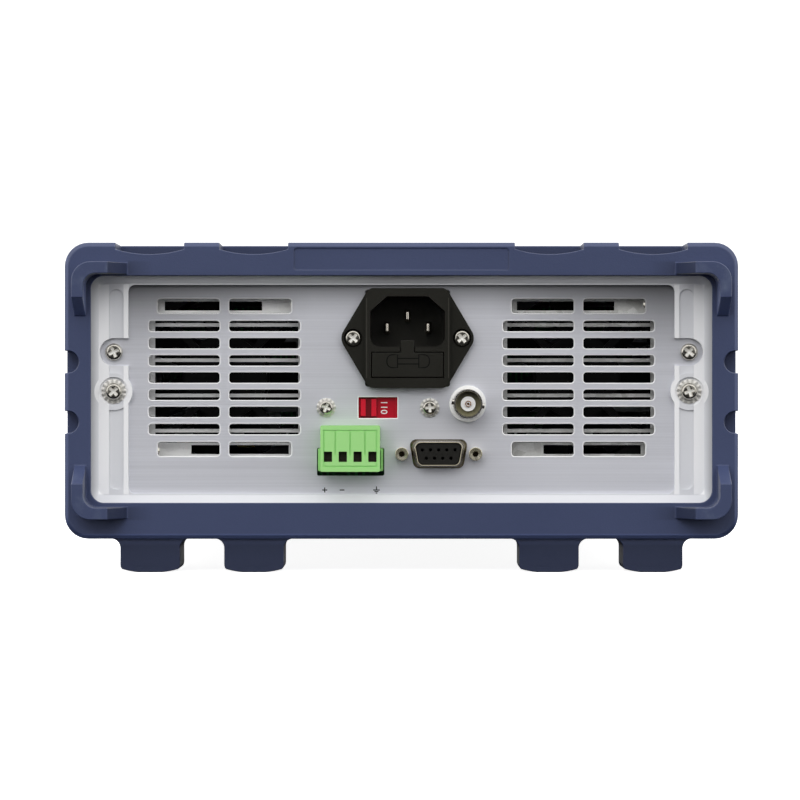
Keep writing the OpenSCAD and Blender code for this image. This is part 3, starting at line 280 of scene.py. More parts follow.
# limits in millimetres: out from the boot's face, down from its top, aside from the middle, up from the floor
SCUFFED_OUT, PAD_RISE, FACE_OUT = (3.2, 12.5), (0.6, 11.6), (-0.3, 0.3)
UPPER_ARM, LOWER_ARM = (6.4, 10.8), (89.5, 93.9)
RAMP_TOE, RAMP_SIDE = (84.0, 92.6), (-1.0, 99.0)
HOLLOW_OUT, HOLLOW_BELOW, HOLLOW_SIDE = (-27.7, -1.0), (0.45, 4.3), (-1.0, 97.0)
PAD_SIDE, PAD_UPPER = (106.3, 115.0), (0.0, 50.0)
RIM_SIDE, RIM_OUT, RIM_BLUR = (112.8, 113.7), (-1.5, 0.2), 0.2
LOWER_RIM, FOOT_SHADE = (11.05, 13.0), (11.2, 9.0)


def boot_build(start):
    """Rubber: pebbled grain under zones of wear, painted shade and painted highlights, in bands of width,
    depth and level.
    """
    base = paint(63, 73, 107)
    fine = grain(start, 1900.0)
    clouds = grain(start, 26.0, detail=5.0)
    across, depth, level = [axis_of(start, axis) for axis in range(3)]
    aside = abs(across)
    out = abs(depth - BOOT_MIDDLE) - BOOT_FACE
    below = BOOT_TOP - level
    scuffs = grain(start, 150.0, detail=6.0).spread(0.50, 0.72)
    ramp = out.band(*PAD_RISE)
    arm = below.band(*UPPER_ARM) + below.band(*LOWER_ARM)
    toe = aside.fade(*RAMP_TOE) * aside.band(0, RAMP_TOE[1]) * out.band(*FACE_OUT)
    hollow = out.band(*HOLLOW_OUT) * below.band(*HOLLOW_BELOW)
    # zones: scuffed wear on the pads; painted shade in hollows, on ramps, beside the ramp toes and at the
    # feet; painted highlights on the side ramps, the outer rims and the lower edge
    zones = [
        (0.40 * out.fade(*SCUFFED_OUT) * scuffs, paint(104, 116, 138)),
        (0.60 * hollow * aside.band(*HOLLOW_SIDE), shaded(base, 0.45)),
        (0.85 * ramp * aside.band(*RAMP_SIDE), shaded(base, 0.5)),
        (0.45 * arm * toe, shaded(base, 0.4)),
        (0.90 * ramp * aside.band(*PAD_SIDE) * below.band(*PAD_UPPER), shaded(base, 2.2)),
        (0.45 * aside.band(*RIM_SIDE, RIM_BLUR) * out.band(*RIM_OUT), shaded(base, 2.0)),
        (0.80 * level.band(*LOWER_RIM), shaded(base, 2.0)),
        (0.75 * level.fade(*FOOT_SHADE), shaded(base, 0.36)),
    ]
    colour = (0.5 * fine + 0.5 * clouds).mix(shaded(base, 0.86), shaded(base, 1.14))
    for amount, tint in zones:
        colour = amount.mix(colour, tint)
    return {
        "Base Color": colour,
        "Roughness": 0.36 + 0.14 * (clouds - 0.5) + 0.08 * fine,
        "Normal": fine.relief(0.035),
    }


finishes["boot_rubber"] = finish("boot_rubber_moulded", boot_build, Specular_IOR_Level=0.5)
print("boot face:", round(BOOT_FACE, 4), "m from the middle")

# %% [markdown]
# ## Shade under the lip, and the bezel
# The lip of the rear boot and its pads keep light from the upper edge of the panel. Lamps could cast it, but
# the dome is too even, so panel and bezel carry a painted shade that fades below the lip and reaches further
# in the corners. The side bars of the bezel carry painted highlights on both sides of a satin trough and on
# the bosses, and painted shade on the outer slope.

# %% Lip shade and bezel plastic
PANEL_EDGE_V, MIDDLE_SIDE, CORNER_SIDE = 35.8, 30.0, 88.0
MIDDLE_REACH, CORNER_REACH, REACH_LEAN, SHADE_POWER = 12, 18, 40, 1.6
BEZEL_SCREW_U, BEZEL_LOWER_V, BOSS_R, SHARP_BLUR, BEZEL_CELL = 97.75, -0.7, 6.4, 0.1, 1 / 2.2
BAR_SIDE, TROUGH_SIDE, BAR_RISE, OUTER_SLOPE = (92.6, 102.8), (94.35, 99.25), (-1.0, 35.6), (102.9, 104.6)


def under_lip(start):
    """Shade below the lip: (1 - d / r) to the power 1.6, with the reach r longer towards the corners."""
    across, level = axis_of(start, 0), axis_of(start, 2)
    corner = abs(across).fade(MIDDLE_SIDE, CORNER_SIDE)
    reach = (MIDDLE_REACH + (CORNER_REACH - REACH_LEAN * across) * corner) * MM
    share = across.math("DIVIDE", mid_z + PANEL_EDGE_V * MM - level, reach)
    return (0.86 + 0.14 * corner) * share.spread(1.0, 0.0) ** SHADE_POWER


def bezel_build(start):
    """A satin skin with painted highlights on the flats beside each trough and on the bosses, and painted
    shade on the outer slope.
    """
    inputs = skin(start, BEZEL_GREY, 0.42, BEZEL_CELL, 0.012, 0.03)
    across, level = axis_of(start, 0), axis_of(start, 2)
    aside, rise = abs(across), abs(level - mid_z)
    side, high = aside - BEZEL_SCREW_U * MM, level - (mid_z + BEZEL_LOWER_V * MM)
    boss = ((side * side + high * high) ** 0.5).fade(BOSS_R + SHARP_BLUR, BOSS_R - SHARP_BLUR)
    bars = boss.math("MAXIMUM", boss, aside.band(*BAR_SIDE, SHARP_BLUR))
    flats = bars * (1 - aside.band(*TROUGH_SIDE, SHARP_BLUR)) * rise.band(*BAR_RISE)
    slope = (1 - boss) * aside.fade(*OUTER_SLOPE)
    # painted highlight on the flats and bosses, then painted shade on the outer slope and under the lip
    bright = (0.85 * flats).mix(inputs["Base Color"], paint(254, 254, 255))
    slope_shaded = (0.5 * slope).mix(bright, shaded(BEZEL_GREY, 0.35))
    inputs["Base Color"] = (0.18 * under_lip(start)).mix(slope_shaded, shaded(BEZEL_GREY, 0.15))
    return inputs


bezel_plastic = finish("bezel_satin_plastic", bezel_build)
print("lip shade reaches", MIDDLE_REACH, "mm down in the middle")

# %% [markdown]
# ## Brushed, plated and turned metals
# The rear panel is aluminium sheet that ran under an abrasive belt, so its scratches are long and level.
# Noise squeezed three hundredfold across the belt gives such lines. Zinc plating shows crystals, which
# are the cells of a Voronoi pattern, and small turned parts only need fine rings of wear and a little haze.
# The panel takes the shade of the lip as well, and the zinc is brighter on the side that had more light.

# %% The metal finishes
SHADE_LEFT, LIT_BLUR = 0.13, 10.0


def brushed(name, colour, rough, stretch, depth_mm, contrast, shade=None, **constants):
    """Two layers of stretched noise, coarse and fine streaks, over slow clouds of haze, darker by a shade."""
    def build(start):
        coarse = grain(start, 1.0, stretch, detail=4.0)
        fine = grain(start, 3.1, stretch)
        haze = grain(start, 14.0)
        streak = 0.6 * coarse + 0.4 * fine
        tone = (0.75 * streak + 0.25 * haze).spread(0.30, 0.70)
        lines = tone.mix(shaded(colour, 1 - contrast), shaded(colour, 1 + contrast))
        return {
            "Base Color": shade(start).mix(lines, shaded(colour, SHADE_LEFT)) if shade else lines,
            "Roughness": rough + 0.22 * (streak - 0.5) + 0.10 * (haze - 0.5),
            "Normal": streak.relief(depth_mm),
        }
    return finish(name, build, **constants)


def plated_build(start):
    """Zinc crystals: each Voronoi cell has its own tone and gloss, over pits; brighter at plus X."""
    lit = axis_of(start, 0).fade(-LIT_BLUR, LIT_BLUR)
    cells = start.node("ShaderNodeTexVoronoi", {}, {"Vector": place(start), "Scale": 420.0}, out="Color")
    tone = start.node("ShaderNodeSeparateColor", {}, {0: cells})
    pits = grain(start, 1600.0)
    low_tone = lit.mix(paint(206, 206, 200), paint(240, 240, 238))
    return {
        "Base Color": (0.55 * tone + 0.45 * pits).mix(low_tone, paint(254, 254, 252)),
        "Roughness": 0.30 + 0.24 * tone + 0.10 * (pits - 0.5),
        "Metallic": 0.32 - 0.30 * lit,
        "Normal": pits.relief(0.012),
    }


LEVEL_SCRATCH, TURNED, DRAWN = (5.0, 5.0, 1500.0), (900.0, 900.0, 900.0), (900.0, 60.0, 900.0)
EXTRUDED, LAMINATED, MATT = (700.0, 5.0, 700.0), (40.0, 2200.0, 40.0), (700.0, 700.0, 700.0)
finishes.update({
    "brushed_panel": brushed("panel_brushed_aluminium", paint(238, 239, 246), 0.46, LEVEL_SCRATCH, 0.003,
                             0.065, under_lip, Metallic=0.62),
    "plated_steel": finish("zinc_plated_steel", plated_build),
    "sink_aluminium": brushed("sink_extruded_aluminium", paint(176, 178, 180), 0.44, EXTRUDED, 0.006, 0.10,
                              Metallic=0.95),
    "nickel": brushed("nickel_plate", paint(214, 210, 200), 0.20, TURNED, 0.002, 0.12, Metallic=1.0),
    "contact_metal": brushed("tinned_contact", paint(214, 208, 196), 0.22, DRAWN, 0.002, 0.10, Metallic=1.0),
    "post_brass": brushed("post_brass", paint(206, 172, 104), 0.25, DRAWN, 0.003, 0.10, Metallic=1.0),
    "core_iron": brushed("laminated_iron", paint(96, 92, 88), 0.50, LAMINATED, 0.020, 0.22, Metallic=0.6),
})
print("finishes with metals:", len(finishes))

# %% [markdown]
# ## Paint, boards, glass and the display
# The steel cover is sprayed with a textured paint that dries in small ridges. Boards are green resin over
# copper, so faint straight tracks show through. The lens of the display is a dark smoked sheet, polished,
# with the slight haze of fingers; a flat black would look like a hole.

# %% The remaining finishes
def cover_build(start):
    """Textured paint: ridges from two sizes of noise, with a faint drift of tone."""
    ridges = 0.6 * grain(start, 900.0) + 0.4 * grain(start, 2600.0, detail=2.0)
    drift = grain(start, 9.0, detail=2.0)
    return {
        "Base Color": (0.5 * ridges + 0.5 * drift).mix(paint(158, 160, 164), paint(182, 184, 187)),
        "Roughness": 0.48 + 0.20 * (ridges - 0.5),
        "Normal": ridges.relief(0.05),
    }


def board_build(start):
    """Solder resist over tracks: thin bands of a wave pattern, broken by coarse noise."""
    bands = start.node("ShaderNodeTexWave", {"bands_direction": "X"},
                       {"Vector": place(start), "Scale": 130.0, "Distortion": 2.5, "Detail": 1.0}, out=1)
    broken = grain(start, 120.0, detail=1.0).spread(0.45, 0.55)
    tracks = bands.spread(0.62, 0.70) * broken
    return {
        "Base Color": tracks.mix(paint(16, 74, 40), paint(34, 112, 60)),
        "Roughness": 0.34 + 0.10 * tracks,
        "Normal": tracks.relief(0.03),
    }


def lens_build(start):
    """Smoked sheet: nearly black, with finger haze that only changes the gloss."""
    haze = grain(start, 70.0, detail=5.0)
    return {
        "Base Color": haze.mix(paint(9, 11, 16), paint(17, 20, 28)),
        "Roughness": 0.06 + 0.16 * (haze ** 3.0),
    }


INLET_U, CAP_STARTS, CAP_BLUR = 2.07, 4.6, 0.05


def fuse_build(start):
    """Glass tube in metal caps: the caps start at a distance from the middle of the tube along X."""
    across = axis_of(start, 0) + INLET_U * MM
    caps = abs(across).fade(CAP_STARTS - CAP_BLUR, CAP_STARTS + CAP_BLUR)
    haze = grain(start, 600.0)
    return {
        "Base Color": caps.mix(paint(196, 206, 204), paint(208, 206, 200)),
        "Roughness": 0.10 + 0.18 * haze * caps,
        "Metallic": caps,
    }


def glow_build(start):
    """Lit segments: a cold white that dims a little towards the edges of each cell of noise."""
    flicker = grain(start, 900.0, detail=2.0)
    return {
        "Base Color": flicker.mix(paint(150, 205, 235), paint(190, 228, 248)),
        "Emission Color": flicker.mix(paint(150, 210, 240), paint(205, 238, 252)),
    }


finishes.update({
    "cover_paint": finish("cover_texture_paint", cover_build),
    "green_board": finish("circuit_board", board_build, Coat_Weight=0.2),
    "dark_lens": finish("smoked_lens", lens_build, Coat_Weight=0.5),
    "fuse_glass": finish("fuse_glass_and_caps", fuse_build),
    "display_blue": finish("display_cell", lens_build),
})
ink_dark = moulded("ink_dark", paint(24, 24, 27), 0.55, 0.2, 0.004, 0.15)
ink_black = moulded("ink_black", paint(7, 7, 6), 0.60, 0.2, 0.004, 0.15, Specular_IOR_Level=0.15)
ink_white = moulded("ink_white", paint(246, 246, 246), 0.50, 0.2, 0.004, 0.05)
glow = finish("display_glow", glow_build, Emission_Strength=1.4, Roughness=0.4)

slot_of = {part["node"]: part["material_slot"] for part in frame["record"]["subparts"]}
body_of = {node: body for body, nodes in frame["record"]["behaviour"]["bodies"].items() for node in nodes}
# fan frames and rotors are painted darker than the other black plastic: painted shade inside the case
fan_shaded_black = moulded("fan_matt_black_painted_shade", paint(9, 9, 9), 0.60, 0.40, 0.016, 0.14, Specular_IOR_Level=0.12)
for node_name, slot_name in slot_of.items():
    own = fan_shaded_black if node_name.startswith(("fan_frame", "fan_rotor")) else finishes[slot_name]
    frame["nodes"][node_name].material_slots[0].material = own
print("finishes given to", len(slot_of), "solids")

# %% [markdown]
# ## Rounded edges on the moulded solids
# No moulded or punched edge is perfectly sharp: it carries a small radius that catches a line of light.
# The CAD solids could hold every radius, but thousands of blends make a model slow to rebuild. So each solid
# is copied, its triangles are merged back into whole faces, and a Bevel modifier rounds the sharp edges.

# %% Soft copies of the solids
SOLID_WELD, FLAT_ANGLE, SHARP_ANGLE = 2e-6, math.radians(0.4), math.radians(31)
EDGE_SEGMENTS, KEY_EDGE = 2, 0.55


def new_object(name, data):
    """An object that holds the data and is linked into the scene."""
    made = bpy.data.objects.new(name, data)
    bpy.context.scene.collection.objects.link(made)
    return made


def soften(node, width_mm):
    """Copies a solid, merges its triangles into flat faces and rounds the edges above the sharp angle."""
    work = bmesh.new()
    work.from_mesh(frame["nodes"][node].data)
    bmesh.ops.remove_doubles(work, verts=work.verts, dist=SOLID_WELD)
    bmesh.ops.dissolve_limit(work, angle_limit=FLAT_ANGLE, verts=work.verts, edges=work.edges)
    mesh = bpy.data.meshes.new(node + "_soft")
    work.to_mesh(mesh)
    work.free()
    for layer in ("custom_normal", "sharp_edge", "sharp_face"):
        if layer in mesh.attributes:
            mesh.attributes.remove(mesh.attributes[layer])
    mesh.shade_smooth()
    mesh.set_sharp_from_angle(angle=SHARP_ANGLE)
    mesh.materials.append(finishes[slot_of[node]])
    piece = new_object(node + "_soft", mesh)
    edges = piece.modifiers.new("rounded_edges", "BEVEL")
    edges.width = width_mm * MM
    edges.segments = EDGE_SEGMENTS
    edges.limit_method = "ANGLE"
    edges.angle_limit = SHARP_ANGLE
    edges.harden_normals = True
    edges.use_clamp_overlap = not node.endswith("_boot")
    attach(piece, body_of[node])
    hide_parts(node)
    return piece


edge_widths = {
    "rear_boot": 0.3, "front_boot": 0.3, "rear_bezel": 0.45, "front_bezel": 0.45, "inlet_body": 0.35,
    "inlet_pins": 0.55, "fuse_drawer": 0.25, "terminal_plug": 0.22, "terminal_header": 0.2,
    "selector_body": 0.15, "selector_slider": 0.15, "dsub_insert": 0.15, "coax_collar": 0.35,
    "coax_shell": 0.15, "knob": 0.35, "power_button": 0.5, "red_post_cap": 0.35, "black_post_cap": 0.35,
}
edge_widths.update({name: KEY_EDGE for name in slot_of if name.startswith("key_")})
soft = {node_name: soften(node_name, edge_width) for node_name, edge_width in edge_widths.items()}
soft["rear_bezel"].data.materials[0] = bezel_plastic
print("rounded solids:", len(soft))

# %% [markdown]
# ## Surfaces from grids of points
# Turned parts, pressed rings and painted strokes are all one thing to a mesh maker: a grid of points whose
# rows follow a profile and whose columns run round it. Ready shapes could be stacked and cut, but a grid
# keeps each form in one formula. Double points are merged at the end, which closes seams and poles.

# %% Grid helpers
GRID_WELD, GRID_SHARP = 1e-7, math.radians(38)


def grid_faces(rows, columns):
    """Quads between neighbouring rows and columns of a grid whose last column joins the first."""
    i = np.arange(rows - 1)[:, None]
    j = np.arange(columns)[None, :]
    k = (j + 1) % columns
    corners = [i * columns + j, (i + 1) * columns + j, (i + 1) * columns + k, i * columns + k]
    return np.stack(corners, axis=-1).reshape(-1, 4)


def lathe(radius, height, steps=72):
    """A profile carried round the axis: x = r cos a, y = r sin a, z = h; r and h may also change with a."""
    a = np.linspace(0, 2 * np.pi, steps, endpoint=False)
    rows = len(radius)
    r, h = [np.broadcast_to(np.reshape(line, (rows, -1)), (rows, steps)) for line in (radius, height)]
    grid = np.stack([r * np.cos(a), r * np.sin(a), h], axis=-1)
    return grid.reshape(-1, 3), grid_faces(rows, steps)


def add_mesh(name, parts):
    """Joins parts of (points, faces and perhaps a mask for each point) and merges double points."""
    starts = np.cumsum([0] + [len(part[0]) for part in parts[:-1]])
    points = np.concatenate([part[0] for part in parts])
    faces = [face for part, start in zip(parts, starts) for face in (part[1] + start).tolist()]
    mesh = bpy.data.meshes.new(name)
    mesh.from_pydata(points.tolist(), [], faces)
    mask = np.concatenate([part[2] if len(part) > 2 else np.zeros(len(part[0])) for part in parts])
    if mask.any():
        mesh.attributes.new("recess", "FLOAT", "POINT").data.foreach_set("value", mask.astype(np.float32))
    work = bmesh.new()
    work.from_mesh(mesh)
    bmesh.ops.remove_doubles(work, verts=work.verts, dist=GRID_WELD)
    work.to_mesh(mesh)
    work.free()
    mesh.shade_smooth()
    mesh.set_sharp_from_angle(angle=GRID_SHARP)
    return new_object(name, mesh)


def add_piece(name, parts, body, slot, material, *nodes):
    """A new piece of the object: its mesh and finish, its body and the solids that it replaces; the slot is
    not used.
    """
    piece = add_mesh(name, parts)
    piece.data.materials.append(material)
    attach(piece, body)
    if nodes:
        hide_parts(*nodes)
    return piece


ROOT = body_of["rear_panel"]
print("grid helpers are ready, root body:", ROOT)

# %% [markdown]
# ## Screws with a cross recess
# A pan head is cold formed: a punch presses the cross into a low dome, so its walls slope and its corners
# are soft. A cross cut out of a dome would leave razor edges. Here the head is a height over polar
# coordinates, the dome minus the deeper of two smooth grooves that cross in the middle.

# %% Screw heads
CROSS_HALF, CROSS_WALL, CROSS_END, END_WALL, CROSS_DEEP, WASHER_FROST_AND_HIGHLIGHT = 0.20, 0.10, 0.66, 0.12, 0.7, 0.5


def eased(value):
    """0 below 0, 1 above 1 and a smooth step 3 t^2 - 2 t^3 between."""
    t = np.clip(value, 0, 1)
    return t * t * (3 - 2 * t)


def screw(radius, height, shank_r, shank, turn, steps=80):
    """Dome h (1 - t^2 / 10 - t^12 / 2) minus the deeper of two tapering grooves, on a closed shank."""
    t = np.linspace(0, 1, 36)[:, None]
    a = np.linspace(0, 2 * np.pi, steps, endpoint=False)[None, :] - math.radians(turn)
    x, y = np.abs(t * np.cos(a)), np.abs(t * np.sin(a))
    along = eased((CROSS_HALF - y) / CROSS_WALL) * eased((CROSS_END - x) / END_WALL)
    across = eased((CROSS_HALF - x) / CROSS_WALL) * eased((CROSS_END - y) / END_WALL)
    pressed = np.maximum(along, across)
    top = height * (1 - t ** 2 / 10 - t ** 12 / 2 - CROSS_DEEP * (1 - 0.7 * t) * pressed)
    ends = np.array([[radius, 0.0], [shank_r, 0.0], [shank_r, -shank], [0.0, -shank]])
    radii = np.concatenate([np.broadcast_to(radius * t, top.shape), np.repeat(ends[:, :1], steps, axis=1)])
    mask = np.concatenate([pressed.ravel(), np.zeros(len(ends) * steps)])
    return (*lathe(radii, np.concatenate([top, np.repeat(ends[:, 1:], steps, axis=1)]), steps), mask)


def toothed_washer(inner, outer, thick, teeth, steps=224):
    """A ring whose rim swings in and out with sin(n a), while the teeth twist up and down with it."""
    a = np.linspace(0, 2 * np.pi, steps, endpoint=False)
    tip = outer * (0.988 + 0.012 * np.tanh(2 * np.sin(teeth * a)))
    neck = np.full(steps, 0.30 * inner + 0.70 * outer)
    twist = thick * (0.78 + 0.20 * np.sin(teeth * a + 1.1))
    flat = np.full(steps, 0.0)
    radii = [flat + inner, neck, tip, tip, flat + inner, flat + inner]
    heights = [flat + thick, flat + thick, twist, flat, flat, flat + thick]
    # this share of the washer takes the recess finish: matt, and painted lighter as a highlight
    frosted = np.full(len(radii) * steps, WASHER_FROST_AND_HIGHLIGHT)
    return (*lathe(np.array(radii), np.array(heights), steps), frosted)


def put(part, u, v, w=0.0):
    """The part with its points moved to (u, v, w) on the rear face."""
    return (rear(part[0], u, v, w), *part[1:])


def screw_build(start):
    """Nickel plate, mirror-like outside, frosted by the punch inside the pressed recess and painted near
    white there as a highlight.
    """
    recess = start.node("ShaderNodeAttribute", {"attribute_name": "recess"}, out="Fac")
    haze = grain(start, 900.0)
    plate = haze.mix(paint(192, 188, 178), paint(216, 212, 202))
    return {
        "Base Color": recess.mix(plate, paint(252, 251, 247)),
        "Roughness": 0.18 + 0.36 * recess + 0.06 * haze,
        "Metallic": 1 - 0.75 * recess,
    }


SHANK_R = 1.5
UPPER_SCREW, LOWER_SCREW = (2.95, 1.9, SHANK_R, 5), (2.9, 1.9, SHANK_R, 5)
INLET_SCREW, SELECTOR_SCREW = (2.8, 1.4, SHANK_R, 5), (2.5, 1.7, SHANK_R, 4.5)
LOWER_WASHER, SELECTOR_WASHER = (1.6, 4.2, 0.7, 15), (1.6, 3.3, 0.6, 13)
BEZEL_UPPER_V, WELL_FLOOR = 12.7, 0.8
INLET_V, INLET_SCREW_U, INLET_FLOOR = 17.4, 18.5, 1.0
SELECTOR_U, SELECTOR_V, SELECTOR_SCREW_U = -8.0, -6.2, 17.6
screw_parts = []
for side, turn in ((-1, 24), (1, 51)):
    bezel_u, inlet_u = side * BEZEL_SCREW_U, INLET_U + side * INLET_SCREW_U
    selector_u = SELECTOR_U + side * SELECTOR_SCREW_U
    screw_parts += [
        put(screw(*UPPER_SCREW, turn), bezel_u, BEZEL_UPPER_V),
        put(screw(*LOWER_SCREW, 70 - turn), bezel_u, BEZEL_LOWER_V, WELL_FLOOR + LOWER_WASHER[2]),
        put(toothed_washer(*LOWER_WASHER), bezel_u, BEZEL_LOWER_V, WELL_FLOOR),
        put(screw(*INLET_SCREW, 45 - 4 * side), inlet_u, INLET_V, INLET_FLOOR),
        put(screw(*SELECTOR_SCREW, turn + 43), selector_u, SELECTOR_V, SELECTOR_WASHER[2]),
        put(toothed_washer(*SELECTOR_WASHER), selector_u, SELECTOR_V),
    ]
screw_nickel = finish("screw_nickel", screw_build)
add_piece("rear_screws_formed", screw_parts, ROOT, "nickel", screw_nickel, "rear_screws")
print("screws and washers:", len(screw_parts))

# %% [markdown]
# ## The nine pole socket
# Its shell is drawn from sheet metal: a D shaped tube with a rolled lip that flares into a flange behind the
# panel. A solid with sharp steps misses the rolled lip, so the shell is lofted: every row of the profile
# blends between a few D outlines. The jack screws beside it are turned, with a countersink for their plug.

# %% Socket shell and jack screws
SOCKET_U, SOCKET_V, JACK_U, CORNER_STEPS = 12.6, -21.9, 12.5, 12
TUBE_W, TUBE_H, TUBE_R, TUBE_LEAN = 16.4, 8.3, 2.2, 10
FLARE, FLARE_DARK = (19.3, 9.8, 2.4, TUBE_LEAN), (2.6, 0.6)
FLANGE, FLANGE_LEVELS = (30.8, 12.5, 1.0), (-1.5, -2.3)
SHELL_PROFILE = [(-0.5, 0, -2.3), (-0.5, 0, 5.45), (-0.44, 0, 5.68), (-0.27, 0, 5.8), (-0.1, 0, 5.72),
                 (0, 0, 5.45), (0, 0.10, 3.4), (0, 0.28, 1.7), (0, 0.50, 0.95), (0, 0.78, 0.58),
                 (0, 0.95, 0.4), (0, 1, 0.2), (0, 1, -1.5)]


def outline(width, height, radius, lean=0.0):
    """Four corner arcs as centres and directions; lean is the tilt of the sides in degrees, wider above."""
    inward = (height - 2 * radius) * math.tan(math.radians(lean))
    half, rise = width / 2 - radius, height / 2 - radius
    centres = np.array([[half, rise], [-half, rise], [-half + inward, -rise], [half - inward, -rise]])
    starts, ends = np.array([[-lean, 90, 180 + lean, 270], [90, 180 + lean, 270, 360 - lean]])
    a = np.radians(np.linspace(starts, ends, CORNER_STEPS)).T.ravel()
    return np.repeat(centres, CORNER_STEPS, axis=0) + radius * np.stack([np.cos(a), np.sin(a)], axis=-1)


def loft(rows):
    """Rows of (outline points, level) joined to a surface: x and y from the outline, z the level."""
    grid = np.stack([np.column_stack([points, np.full(len(points), level)]) for points, level in rows])
    return grid.reshape(-1, 3), grid_faces(len(rows), grid.shape[1])


def socket_line(grow, flare, level):
    """The shell outline grown by an offset, and blended towards the flare, at a level."""
    tube = outline(TUBE_W + 2 * grow, TUBE_H + 2 * grow, TUBE_R + grow, TUBE_LEAN)
    return (1 - flare) * tube + flare * outline(*FLARE), level


def tin_build(start):
    """Tin plate that turns darker brown where it flares against the panel: the tone follows the height."""
    haze = grain(start, 900.0)
    plate_tone = haze.mix(paint(160, 152, 132), paint(192, 184, 164))
    return {
        "Base Color": (axis_of(start, 1) - rear_y).fade(*FLARE_DARK).mix(plate_tone, paint(92, 84, 66)),
        "Roughness": 0.20 + 0.10 * haze,
    }


tin_plate = finish("socket_tin_plate", tin_build, Metallic=1.0)
shell_rows = [socket_line(*row) for row in SHELL_PROFILE]
shell_rows += [(outline(*FLANGE), level) for level in FLANGE_LEVELS] + shell_rows[:1]
shell_part = put(loft(shell_rows), SOCKET_U, SOCKET_V)
add_piece("socket_shell_drawn", [shell_part], ROOT, "nickel", tin_plate, "dsub_shell")
jack_nickel = brushed("jack_frosted_nickel", paint(232, 227, 208), 0.22, TURNED, 0.004, 0.12, Metallic=0.85)
jack_radii = [0, 0.9, 1.0, 1.0, 2.0, 2.14, 2.26, 2.3, 2.3, 1.5, 1.5, 0]
jack_levels = [-5.6, -5.6, -5.3, 3.95, 4.78, 4.97, 4.93, 4.75, 0, 0, -6, -6]
jack_parts = [put(lathe(jack_radii, jack_levels), SOCKET_U + side * JACK_U, SOCKET_V) for side in (-1, 1)]
add_piece("jack_screws_turned", jack_parts, ROOT, "nickel", jack_nickel, "dsub_jackscrews")
print("rows of the shell:", len(shell_rows), "jack screws:", len(jack_parts))

# %% [markdown]
# ## Burrs along the vent slots
# The punch and the brushing belt leave a fine burr at the edge of each slot. Its inner slope catches the
# light from above, so every slot has a bright rim below it and a dark one on top. A bevel on the whole panel
# would need all its holes cut into faces again. A narrow raised ring is enough, and one outline makes each.

# %% Slot rims
VENT_U, VENT_V, VENT_PITCH, VENT_ROWS = 60.2, 4.0, 5.84, range(-3, 4)
SLOT_SIZE, SLOT_U, SLOT_R = (24.15, 3.64), 13.675, 1.1
TALL_SIZE, TALL_U, TALL_V = (21.15, 4.9), 12.175, 24.3
WINDOW_SIZE, WINDOW_R = (13.3, 7.2), 0.35
BURR_OUT, BURR_CREST, BURR_IN = 0.34, 0.26, 0.05
BURR_DEEP, BURR_BACK, BURR_FOOT, BURR_HIGH = 0.12, 0.14, 0.004, 0.10


def slot_rim(size, radius):
    """A closed ring around a rounded slot: up from the face to a crest, then down into the slot."""
    outside, crest, edge, inside = [outline(size[0] + 2 * grow, size[1] + 2 * grow, radius + grow)
                                    for grow in (BURR_OUT, BURR_CREST, 0.0, -BURR_IN)]
    return loft([(outside, 0.0), (outside, -BURR_BACK), (inside, -BURR_DEEP), (edge, BURR_FOOT),
                 (crest, BURR_HIGH), (outside, 0.0)])


places = [(SLOT_SIZE, column * SLOT_U, row * VENT_PITCH) for column in (-1, 1) for row in VENT_ROWS]
places += [(TALL_SIZE, column * TALL_U, row * TALL_V) for column in (-1, 1) for row in (-1, 1)]
rim_parts = [put(slot_rim(size, SLOT_R), side * VENT_U + u, VENT_V + v)
             for side in (-1, 1) for size, u, v in places]
rim_parts.append(put(slot_rim(WINDOW_SIZE, WINDOW_R), SELECTOR_U, SELECTOR_V))
RIM_STREAKS = (60.0, 60.0, 900.0)
# the burr's slope catches real light; its near white, barely metallic colour is also a painted highlight over
# the panel's aluminium
rim_metal = brushed("rolled_aluminium", paint(250, 250, 252), 0.40, RIM_STREAKS, 0.002, 0.04, under_lip,
                    Metallic=0.15)
add_piece("slot_rims", rim_parts, ROOT, "brushed_panel", rim_metal)
print("slot rims:", len(rim_parts))

# %% [markdown]
# ## Wire cages of the terminal plug
# Behind each wire opening of the green plug sits a small metal cage that the clamp screw pulls shut. From
# outside only its dark mouth shows. Bent sheet could be modelled fold by fold, but the mouth alone is a cup:
# a few rounded rectangles, one inside the other, whose innermost row shrinks to a point.

# %% Cage mouths
TERMINAL_U, WIRE_V, WIRE_PITCH, POLES = -17.3, -22.75, 5.0, (-1.5, -0.5, 0.5, 1.5)
MOUTH = (2.7, 3.4, 0.2)
CAGE_PROFILE = [(0, 7.3), (0.8, 7.3), (0.86, 8.5), (1, 8.5), (1, 6.8), (0, 6.8)]
cage_metal = brushed("cage_dark_metal", paint(58, 52, 44), 0.48, MATT, 0.004, 0.20, Metallic=0.6)
cage_rows = [(share * outline(*MOUTH), level) for share, level in CAGE_PROFILE]
cage_parts = [put(loft(cage_rows), TERMINAL_U + pole * WIRE_PITCH, WIRE_V) for pole in POLES]
add_piece("wire_cages", cage_parts, body_of["terminal_plug"], "contact_metal", cage_metal)
print("wire cages:", len(cage_parts))

# %% [markdown]
# ## Contact of the coaxial jack
# The middle contact is a gold plated sleeve that stands a little proud of the white insulator. The CAD solid
# joins both, since they never move apart, so the sleeve gets its own skin here, a turned profile with a
# rolled mouth. The bore around it is dull and painted dark olive, a painted shade and painted dark reflection
# of the deep, narrow cup. The bore could be a solid of its own, but a finish that changes at a radius from
# the axis is enough.

